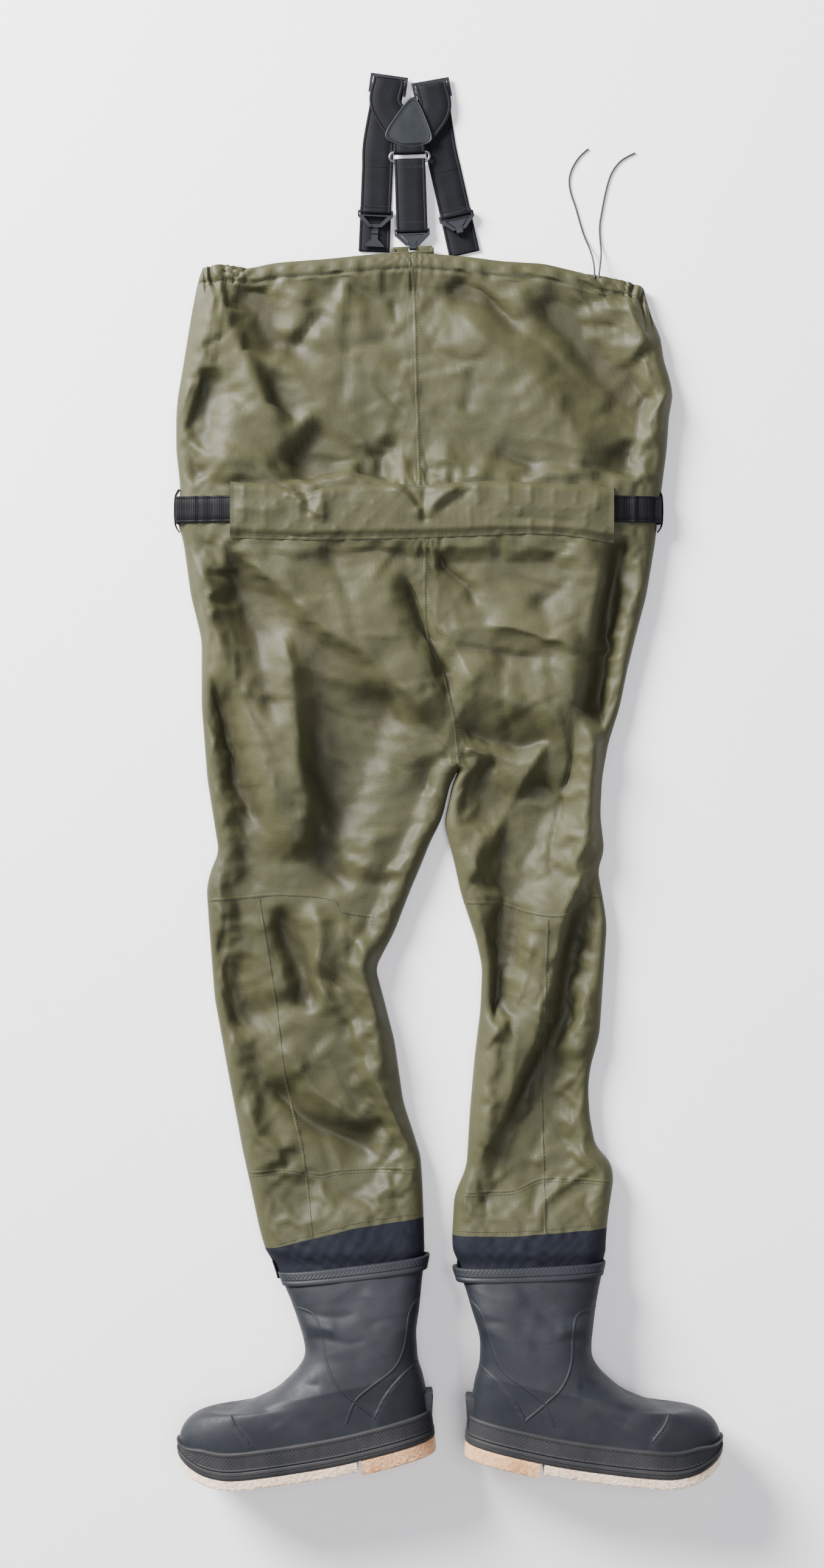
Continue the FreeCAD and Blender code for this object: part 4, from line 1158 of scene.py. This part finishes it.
def belt_half(surface, left):
    """Path from inside the tunnel, round the side and under the front to the buckle."""
    sign = -1.0 if left else 1.0
    edge = across(LEFT_SIDE if left else RIGHT_SIDE, BELT_Y)
    start = -235.0 if left else 178.0
    points = []
    for x in np.arange(start, edge - sign * 6, sign * 5.0):
        place, _ = drop(surface, x, BELT_Y)
        points.append((x, BELT_Y, place[2] + 1.7))
    high = points[-1][2]
    for t in np.linspace(70, -70, 9):
        angle = math.radians(t)
        points.append((edge + sign * (2.6 * math.cos(angle) - 0.6), BELT_Y,
                       high / 2 + 0.8 + (high / 2 - 1.2) * math.sin(angle)))
    end = BUCKLE_LEFT if left else BUCKLE_RIGHT
    points += [(edge - sign * 8, BELT_Y, 1.9), (edge - sign * 30, BELT_Y, 1.9),
               (end + sign * 66, BELT_Y, 1.9)]
    points += [(end + sign * 40, BELT_Y, 3.6), (end, BELT_Y, 3.6)]
    return smooth_line(points, 0.55)


def make_belt(surface):
    halves = []
    for side in ("left", "right"):
        path = belt_half(surface, side == "left")
        halves.append(webbing(side + "_belt_webbing", path, [(0.0, 1.0, 0.0)] * len(path), BELT_WIDTH, 2.0,
                              BELT, ribs=0.22))
        edge = across(LEFT_SIDE if side == "left" else RIGHT_SIDE, BELT_Y)
        out = -1.0 if side == "left" else 1.0
        keeper = [(edge - out * 1.0, BELT_Y + 26, 11), (edge + out * 3.2, BELT_Y + 19, 11),
                  (edge + out * 4.4, BELT_Y + 8, 11), (edge + out * 4.4, BELT_Y - 8, 11),
                  (edge + out * 3.2, BELT_Y - 19, 11), (edge - out * 1.0, BELT_Y - 26, 11)]
        path = smooth_line(keeper, 3.0)
        halves.append(webbing(side + "_belt_keeper", path, [(0.0, 0.0, 1.0)] * len(path), 14.0, 1.4,
                              BELT))
    for piece in halves:
        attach(piece, "torso")
    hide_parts("belt_webbing")


TUNNEL_TOP = [(-261, 350), (-202, 347), (-184, 338), (-168, 336), (-143, 345), (-67, 348), (-25, 344),
              (-8, 348),
              (59, 351), (144, 347), (204, 343)]
TUNNEL_LOW = [(-261, 282), (-172, 279), (-25, 282), (101, 287), (144, 285), (200, 276)]
TUNNEL_FOLDS = [
    (5, 10, 7, [(-190, 342), (-176, 326), (-158, 312), (-140, 306)]),
    (-5, 7, 7, [(-176, 344), (-168, 326), (-166, 306)]),
    (4, 8, 8, [(-150, 346), (-152, 326), (-163, 304)]),
    (4, 10, 14, [(-261, 322), (-225, 316), (-190, 318)]),
    (5, 8, 8, [(-70, 346), (-52, 334), (-36, 318), (-32, 300)]),
    (-5, 6, 6, [(-52, 348), (-40, 334), (-31, 316)]),
    (-6, 7, 7, [(-26, 346), (-27, 322), (-27, 296)]),
    (5, 8, 8, [(18, 347), (-2, 334), (-18, 318), (-22, 300)]),
    (-4, 7, 7, [(34, 344), (10, 326), (-14, 311)]),
    (3, 12, 12, [(-120, 330), (-80, 318), (-50, 300)]),
    (3, 14, 14, [(50, 336), (100, 322), (160, 318), (202, 326)]),
    (-3, 10, 10, [(60, 306), (110, 304), (160, 300)]),
]


def make_tunnel(surface):
    """Cloth sleeve over the back that the belt runs through, drawn together where the cloth is caught."""
    xs = np.arange(-261.0, 203.5, 2.4)
    shares = np.linspace(0, 1, 30)
    top, low = up(TUNNEL_TOP, xs), up(TUNNEL_LOW, xs)
    y = low + (top - low) * shares[:, None]
    x = np.repeat(xs[None], len(shares), axis=0)
    end = np.minimum(x - xs[0], xs[-1] - x)
    base = np.array([[drop(surface, px, py)[0][2] for px, py in zip(*row)] for row in zip(x, y)])
    base = np.maximum(local_mean(base, 4), base - 0.4)
    low_edge = (y - low)
    high_edge = (top - y)
    stand = 5.0 * np.clip(np.minimum(low_edge - 4, high_edge - 1) / 7, 0, 1) ** 0.6
    stand += 0.9 * np.exp(-((low_edge - 2.6) / 2.0) ** 2) + 1.0
    folds = fold_height(x.ravel(), y.ravel(), TUNNEL_FOLDS).reshape(x.shape)
    loose = smoothstep(low_edge, 5, 14)
    rise = 0.9 * loose * folds + 0.6 * loose * gradient_noise(x, y, 26, 21)
    rise += 0.35 * np.sin(x / 2.3) * np.exp(-(low_edge / 4.5) ** 2)
    outside = base + np.maximum(stand + rise, 0.9) + 0.8 * np.exp(-(end / 2.5) ** 2)
    grid = np.stack([x, y, outside], axis=-1)
    inside = grid - np.array([0, 0, 0.8])
    rows, columns = x.shape
    upper = grid_faces(rows, columns, 0, False)
    lower = grid_faces(rows, columns, rows * columns, True)
    index = np.arange(rows * columns).reshape(rows, columns)
    rim = np.concatenate([index[0, :-1], index[:-1, -1], index[-1, :0:-1], index[:0:-1, 0]])
    walls = [(a, b, b + rows * columns, a + rows * columns) for a, b in zip(rim, np.roll(rim, -1))]
    tunnel = add_object("belt_tunnel_cloth", np.vstack([grid.reshape(-1, 3), inside.reshape(-1, 3)]),
                        [tuple(f) for f in np.vstack([upper, lower])] + walls, NYLON)
    face_outward(tunnel)
    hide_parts("belt_tunnel")
    cloth = surface_of(tunnel)
    sewn = stitches("belt_tunnel_stitching", cloth, [
        [(px + 2, py + 4.6) for px, py in TUNNEL_LOW[:1]] + lowered(TUNNEL_LOW[1:-1], -4.6) + [(197, 281.5)],
        [(px + 2, py - 1.6) for px, py in TUNNEL_TOP[:1]] + lowered(TUNNEL_TOP[1:-1], 1.6) + [(201, 341)],
        [(-257.5, 288), (-257.5, 346)], [(199.5, 282), (200, 339)]], lift=0.1)
    for piece in (tunnel, sewn):
        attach(piece, "torso")


def make_loops():
    tab = [(-24, -4.8, -9.2, 1.2, 7.0, 8.6), (4.8, 24, -9.2, 1.2, 7.0, 8.6), (-4.8, 4.8, -1.2, 1.2, 7.0, 8.6),
           (-24, 24, -9.2, -6.6, 7.0, 17.0), (-26, -21, -11, -1, 8.8, 10.2), (21, 26, -11, -1, 8.8, 10.2)]
    back = bevelled_boxes("back_loop_cloth", tab, CENTRE_STRAP, NYLON, 0.6)
    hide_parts("back_loop")
    frames = []
    for x in (-165.0, 95.0):
        frames += [(x - 22, x - 15, 588, 612, 0.3, 2.3), (x + 15, x + 22, 588, 612, 0.3, 2.3),
                   (x - 15, x + 15, 588, 592, 0.3, 2.3), (x - 15, x + 15, 598, 612, 0.3, 2.3)]
    front = bevelled_boxes("front_loop_cloth", frames, (0, 0, 0), NYLON, 0.5)
    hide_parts("front_loops")
    for piece in (back, front):
        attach(piece, "torso")


# ---- boots ---------------------------------------------------------------------------------------------
BOOTS = {"left": (-25.3, -806.7, 6.8, -1), "right": (27.5, -812.6, -5.0, 1)}
# Boot in its own directions: a runs heel to toe, b up the shaft, z across the foot.
BOOT_BACK = [(-5, 24), (-6, 45), (-6, 66), (-4, 88), (-1, 104), (-1, 120), (-4, 142), (-16, 172), (-29, 204),
             (-35, 215), (-41, 226)]
BOOT_FRONT = [(296, 42), (293, 55), (285, 66), (272, 74), (256, 77), (238, 75), (222, 75), (200, 80),
              (178, 88),
              (158, 101), (144, 113), (135, 126), (132, 142), (133, 172), (135, 200), (138, 226), (140, 243)]
BOOT_ACROSS = [(0, 4, 96), (0.36, 5, 95), (0.50, 9, 90), (0.62, 9, 86), (0.72, 8, 80), (0.82, 5, 71),
               (1, 2, 60)]
SOLE_LINE = [(-8, 15), (50, 9), (110, 3), (170, 0), (228, -1), (252, 2), (270, 8), (286, 18), (300, 31)]
BAND_ENDS = {"left": [(-300, -609), (0, -574)], "right": [(-20, -593), (230, -584)]}
OVERLAY_FRONT = [(133, 187), (118, 183), (109, 175), (107, 154), (107, 122), (98, 97), (79, 75), (58, 53)]
OVERLAY_BACK = [(-20, 184), (-3, 168), (13, 129), (28, 107), (54, 92), (78, 76), (92, 51)]
COUNTER_EDGE = [(-2, 109), (21, 96), (42, 77), (59, 52)]
CAP_EDGE = [(230, 80), (223, 62), (210, 43)]
BOOT_WRINKLES = [
    (-2.4, 6, 9, [(146, 190), (118, 180), (84, 172), (56, 176)]),
    (2.2, 8, 8, [(140, 168), (112, 164), (84, 158)]),
    (-1.8, 7, 7, [(132, 150), (104, 150), (76, 142), (52, 146)]),
    (1.6, 9, 9, [(-20, 196), (14, 190), (52, 194)]),
    (-1.6, 8, 8, [(-10, 160), (24, 164), (56, 160)]),
    (-1.8, 8, 8, [(150, 108), (136, 100), (116, 98)]),
    (-1.4, 10, 10, [(190, 82), (180, 70), (172, 56)]),
    (1.8, 16, 16, [(60, 236), (64, 214), (58, 196)]),
]


SHAFT_LEAN = {"left": 14.0, "right": 0.0}   # the soft shaft's top, towards the toe


def boot_frame(points, side):
    """Points in the boot's own directions brought to the frame."""
    x, y, turn, sign = BOOTS[side]
    p = np.array(points, float)
    p[..., 0] += SHAFT_LEAN[side] * smoothstep(p[..., 1], 120, 240)
    p[..., 0] *= sign
    return placed(p, (x, y, turn))


def sole_height(a):
    line = smooth_line(SOLE_LINE, 4.0)
    return np.interp(a, line[:, 0], line[:, 1])


def oval(count, power):
    """Unit loop in a and z, toe first, evenly spaced on an oval, with no point on its long axis."""
    t = np.linspace(0, 2 * math.pi, 4001)
    a = np.sign(np.cos(t)) * np.abs(np.cos(t)) ** (2 / power)
    z = np.sign(np.sin(t)) * np.abs(np.sin(t)) ** (2 / power)
    length = np.concatenate([[0], np.cumsum(np.hypot(3.2 * np.diff(a), np.diff(z)))])
    even = (np.arange(count) + 0.5) / count * length[-1]
    return np.interp(even, length, a), np.interp(even, length, z)


def at_share(line, count):
    """Points at even shares of a line's length."""
    dense = smooth_line(line, 1.0)
    length = np.concatenate([[0], np.cumsum(np.linalg.norm(np.diff(dense, axis=0), axis=1))])
    even = np.linspace(0, length[-1], count)
    return np.stack([np.interp(even, length, dense[:, k]) for k in range(2)], axis=1)


def top_line(side, a):
    """Height up the shaft of the boot's slanted top edge."""
    x, y, turn, sign = BOOTS[side]
    (x0, y0), (x1, y1) = BAND_ENDS[side]
    slope = (y1 - y0) / (x1 - x0)
    angle = math.radians(turn)
    # A point on the local line a = constant reaches the band's end where its y meets the slanted line.
    along_x, along_y = -math.sin(angle), math.cos(angle)
    start_x, start_y = x + sign * a * math.cos(angle), y + sign * a * math.sin(angle)
    return (y0 + slope * (start_x - x0) - start_y) / (along_y - slope * along_x) - 0.4


def upper_loops(side, grow, rows, count, wrinkled=True):
    """Loops of the boot from its sole to its top edge; they fan round the instep."""
    back, front = at_share(BOOT_BACK, rows), at_share(BOOT_FRONT, rows)
    share = np.linspace(0, 1, rows)
    rise = [row[0] for row in BOOT_ACROSS]
    low = np.interp(share, rise, [row[1] for row in BOOT_ACROSS]) - grow
    high = np.interp(share, rise, [row[2] for row in BOOT_ACROSS]) + grow
    oval_a, oval_z = oval(count, 2.7)
    chord = (oval_a + 1) / 2
    loops = []
    for k in range(rows):
        heel = back[k] - np.array([grow, 0])
        toe = front[k] + grow * np.array([1.0, 0.25 * (1 - share[k])])
        a = heel[0] + (toe[0] - heel[0]) * chord
        b = heel[1] + (toe[1] - heel[1]) * chord
        flat = 1 - smoothstep(share[k], 0.0, 0.34)
        ends = sole_height(heel[0]), sole_height(toe[0])
        b += flat * (sole_height(a) - ends[0] - (ends[1] - ends[0]) * chord)
        top = smoothstep(share[k], 0.80, 1.0)
        b += top * (top_line(side, a) - (back[-1][1] + (front[-1][1] - back[-1][1]) * chord))
        z = (low[k] + high[k]) / 2 + (high[k] - low[k]) / 2 * oval_z
        loops.append(np.stack([a, b, z], axis=1))
    loops = np.array(loops)
    if wrinkled:
        a, b, z = loops[..., 0], loops[..., 1], loops[..., 2]
        bulge = fold_height(a.ravel(), b.ravel(), BOOT_WRINKLES).reshape(a.shape)
        bulge += 1.3 * gradient_noise(a, b + z, 55, 31) + 0.5 * gradient_noise(a, b - z, 24, 32)
        counter = np.interp(a, [p[0] for p in COUNTER_EDGE], [p[1] for p in COUNTER_EDGE], right=0)
        bulge += 1.3 * smoothstep(counter - b, -1.2, 1.2) * (a < 62)
        cap = np.interp(b, [p[1] for p in CAP_EDGE[::-1]], [p[0] for p in CAP_EDGE[::-1]])
        bulge += 2.4 * smoothstep(a - cap, -1.6, 1.6)
        middle = (low + high)[:, None] / 2
        facing = np.clip((z - middle) / ((high - low)[:, None] / 2), -1, 1)
        loops[..., 2] += bulge * facing * smoothstep(share, 0, 0.06)[:, None]
    return loops


def make_upper(side):
    outside = upper_loops(side, 0.0, 110, 200)
    inside = upper_loops(side, -3.2, 110, 200, False)[:40:-1]
    upper = loft(side + "_boot_rubber", boot_frame(np.concatenate([outside, inside]), side), RUBBER,
                 sharp=70.0)
    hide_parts(side + "_boot_upper", side + "_toe_cap", side + "_heel_counter")
    surface = surface_of(upper)
    beads = []
    for number, line in enumerate((OVERLAY_FRONT, OVERLAY_BACK, COUNTER_EDGE, CAP_EDGE)):
        route = boot_frame([(a, b, 0) for a, b in line], side)[:, :2]
        beads.append(laid_strip(side + "_boot_seam_" + str(number + 1), surface, route, BEAD_PROFILE, RUBBER))
    spur_side = [(-2, 68.5), (-12.5, 68), (-13.6, 64), (-10.5, 46), (-7.5, 26), (-2, 26)]
    levels = [(34, 0.9), (35, 1.0), (65, 1.0), (66, 0.9)]
    loops = [[(-2 + (a + 2) * k, 47 + (b - 47) * k, z) for a, b in spur_side] for z, k in levels]
    spur = loft(side + "_kick_spur", boot_frame(loops, side), RUBBER, sharp=35.0)
    for piece in [upper, spur] + beads:
        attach(piece, side + "_boot")


BEAD_PROFILE = [(-2.2, -0.5), (-1.4, 0.3), (-0.6, 0.55), (0.6, 0.55), (1.4, 0.3), (2.2, -0.5)]


def make_binding(side):
    """Band round the top edge with moulded chevrons over a plain lip."""
    count = 420
    shape = upper_loops(side, 1.9, 110, count, False)
    length = np.linalg.norm(np.diff(shape[-1], axis=0, append=shape[-1][:1]), axis=1)
    along = np.cumsum(length)
    pitch = along[-1] / 84
    profile = [(16.0, -1.6), (16.0, -0.5), (15.2, 0.1), (10.6, 0.1), (10.0, -0.7), (9.4, 0.0)]
    profile += [(d, 0.0) for d in np.linspace(8.8, 1.4, 9)] + [(0.8, -0.1), (0.2, -0.6), (0.2, -1.6)]
    loops = []
    a, z = shape[-1][:, 0], shape[-1][:, 2]
    middle_a, middle_z = a.mean(), z.mean()
    out = np.stack([(a - middle_a) / 93, np.zeros(count), (z - middle_z) / 31 * 1.6], axis=1)
    out /= np.linalg.norm(out, axis=1)[:, None]
    for depth, step in profile:
        loop = shape[-1].copy()
        loop[:, 1] -= depth
        share = depth / 60.0
        loop[:, 0] += (shape[-30][:, 0] - shape[-1][:, 0]) * share
        loop[:, 2] += (shape[-30][:, 2] - shape[-1][:, 2]) * share
        if 1.0 < depth < 9.0:
            wave = (along / pitch + abs(depth - 5.1) / 3.6) % 1.0
            step = step + 0.75 * (np.abs(wave - 0.5) * 2) - 0.3
        loops.append(loop + out * np.asarray(step).reshape(-1, 1))
    binding = loft(side + "_boot_binding_band", boot_frame(loops, side), RUBBER, joined=True,
                   sharp=60.0)
    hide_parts(side + "_boot_binding")
    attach(binding, side + "_boot")


def sole_loop(grow, count):
    """Plan of the sole grown by a distance: a, z and the outward direction at each point."""
    oval_a, oval_z = oval(count, 3.0)
    a, z = 144.5 + (150.5 + grow) * oval_a, 50 + (46 + grow) * oval_z
    out = np.stack([np.sign(oval_a) * np.abs(oval_a) ** 2 / 150,
                    np.sign(oval_z) * np.abs(oval_z) ** 2 / 46], axis=1)
    return a, z, out / np.linalg.norm(out, axis=1)[:, None]


def sole_piece(side, name, levels, count, mat, node, pattern=None, keep=None, turn=0, sharp=45.0):
    """Solid of the sole's plan; levels are (height above the sole line, growth)."""
    a, z, out = sole_loop(0.0, count)
    length = np.cumsum(np.hypot(np.diff(a, append=a[0]), np.diff(z, append=z[0])))
    loops = []
    for height, grow in levels:
        step = grow + (pattern(length, height, length[-1]) if pattern else 0.0)
        wide_a, wide_z = a + out[:, 0] * step, np.maximum(z + out[:, 1] * step, 0.2)
        rise = height - 0.62 * max(height - 10, 0) * smoothstep(wide_a, 262, 300)
        loop = np.stack([wide_a, sole_height(wide_a) + rise, wide_z], axis=1)
        loop = np.roll(loop, turn, axis=0)
        if keep is not None:
            loop = loop[np.roll(keep(a), turn)]
        loops.append(loop)
    piece = loft(side + name, boot_frame(loops, side), mat, sharp=sharp)
    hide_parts(side + node)
    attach(piece, side + "_boot")


def cross_hatch(along, height, total):
    """Raised diamonds round the foxing."""
    if not 12.5 < height < 28.5:
        return 0.0
    count = round(total / 4.6)
    phase = along / total * count
    first = np.abs(((phase + height / 4.6) % 1.0) - 0.5)
    second = np.abs(((phase - height / 4.6) % 1.0) - 0.5)
    return 1.3 * np.minimum(first, second) * 2 - 0.4


def fibres(seed, amount):
    def rough(along, height, total):
        return (amount * gradient_noise(along, np.full_like(along, 3.0 * height), 5.0, seed)
                + 0.6 * amount * gradient_noise(along, np.full_like(along, 9.0 * height), 2.2, seed + 1))
    return rough


def make_sole(side):
    foxing = ([(10.2, -2.0), (10.2, 2.8), (11.0, 3.5), (12.2, 3.5)]
              + [(h, 3.0) for h in np.arange(12.8, 28.4, 1.15)])
    foxing += [(29.0, 3.4), (31.0, 3.6), (32.4, 2.9), (33.0, 1.2), (33.0, -2.0)]
    sole_piece(side, "_foxing_band", foxing, 560, SOLE_RUBBER, "_foxing", cross_hatch,
               sharp=60.0)
    outsole = [(0.0, 1.8), (0.4, 3.6), (2.0, 4.2), (4.4, 4.2), (5.0, 3.5), (5.6, 4.3), (8.6, 4.3),
               (9.6, 3.8), (10.0, 2.6)]
    sole_piece(side, "_outsole_rand", outsole, 260, SOLE_RUBBER, "_outsole")
    sole_piece(side, "_footbed", [(10.3, -8), (10.8, -7), (14.2, -7), (15.0, -8)], 120, LINING,
               "_insole")
    felt = [(-12.0, 1.6), (-11.4, 2.9)] + [(h, 3.3) for h in np.arange(-10.2, -0.8, 1.3)] + [(-0.3, 2.4)]
    sole_piece(side, "_sole_felt", felt, 520, FELT, "_felt_sole", fibres(41, 0.7),
               lambda a: a >= 84, 260)
    heel = [(-18.0, 1.6), (-17.2, 2.9)] + [(h, 3.3) for h in np.arange(-16.0, -0.8, 1.6)] + [(-0.3, 2.4)]
    sole_piece(side, "_heel_felt", heel, 520, HEEL, "_felt_heel", fibres(51, 0.7),
               lambda a: a <= 81)


# ---- the free ends of the drawcord ------------------------------------------------------------------
CORD_LEFT = [(0.1807, 0.6008, 0.0170), (0.1807, 0.6123, 0.0155), (0.1792, 0.6253, 0.0095),
             (0.1757, 0.6388, 0.0032), (0.1687, 0.6548, 0.0012), (0.1632, 0.6728, 0.0012),
             (0.1587, 0.6898, 0.0012), (0.1527, 0.7058, 0.0012), (0.1502, 0.7203, 0.0012),
             (0.1520, 0.7328, 0.0012), (0.1582, 0.7448, 0.0012), (0.1652, 0.7543, 0.0012),
             (0.1742, 0.7613, 0.0012)]
CORD_RIGHT = [(0.1857, 0.5993, 0.0170), (0.1867, 0.6108, 0.0155), (0.1888, 0.6233, 0.0095),
              (0.1898, 0.6363, 0.0032), (0.1882, 0.6513, 0.0012), (0.1876, 0.6673, 0.0012),
              (0.1902, 0.6828, 0.0012), (0.1932, 0.6993, 0.0012), (0.1968, 0.7153, 0.0012),
              (0.2012, 0.7298, 0.0012), (0.2087, 0.7418, 0.0012), (0.2187, 0.7508, 0.0012),
              (0.2312, 0.7563, 0.0012)]
CORD_WIDTH = 0.0022


def make_cord(name, route):
    curve = bpy.data.curves.new(name, "CURVE")
    curve.dimensions = "3D"
    curve.bevel_depth = CORD_WIDTH / 2
    curve.bevel_resolution = 4
    curve.resolution_u = 8
    curve.use_fill_caps = True
    spline = curve.splines.new("NURBS")
    spline.points.add(len(route) - 1)
    for point, place in zip(spline.points, route):
        point.co = (*place, 1.0)
    spline.order_u = 3
    spline.use_endpoint_u = True
    curve.materials.append(CORD)
    obj = bpy.data.objects.new(name + "_cord", curve)
    bpy.context.scene.collection.objects.link(obj)
    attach(obj, "torso")
    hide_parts(name)


# ---- carried-over parts ------------------------------------------------------------------------------
def finish_nodes():
    """Hard mouldings and metal keep the model's shape, with slightly rounded edges."""
    kept = {"buckle_socket": PLASTIC, "buckle_tongue": PLASTIC, "centre_clip_frame": PLASTIC,
            "centre_clip_hook": PLASTIC, "yoke_ring": STEEL}
    for side in ("left_", "right_"):
        kept.update({side + "clip_frame": PLASTIC, side + "clip_hook": PLASTIC, side + "strap_ring": PLASTIC})
    for name, mat in kept.items():
        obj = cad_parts[name]
        obj.data.materials.clear()
        obj.data.materials.append(mat)
        if name != "yoke_ring":
            round_edges(obj, 0.35)


# ---- the scene -----------------------------------------------------------------------------------------
make_camera()
make_world()
make_light("key", (-3.4, 2.9, 2.3), (0, 0, 0), 2.4, 1500.0, (1.0, 0.985, 0.96))
make_light("fill", (0.6, -0.2, 4.2), (0, 0, 0), 2.6, 150.0, (0.95, 0.96, 1.0))
finish_nodes()
cloth_surface = make_garment()
make_seams(cloth_surface)
make_belt(cloth_surface)
make_tunnel(cloth_surface)
make_loops()
make_centre_strap()
make_yoke_patch()
for side in ("left", "right"):
    make_shoulder_strap(side)
    make_front_strap(side)
    make_upper(side)
    make_binding(side)
    make_sole(side)
make_cord("drawcord_end_left", CORD_LEFT)
make_cord("drawcord_end_right", CORD_RIGHT)

floor = add_object("floor", [(-4000, -4000, 0), (4000, -4000, 0), (4000, 4000, 0), (-4000, 4000, 0)],
                   [(0, 1, 2, 3)], FLOOR, smooth=False)
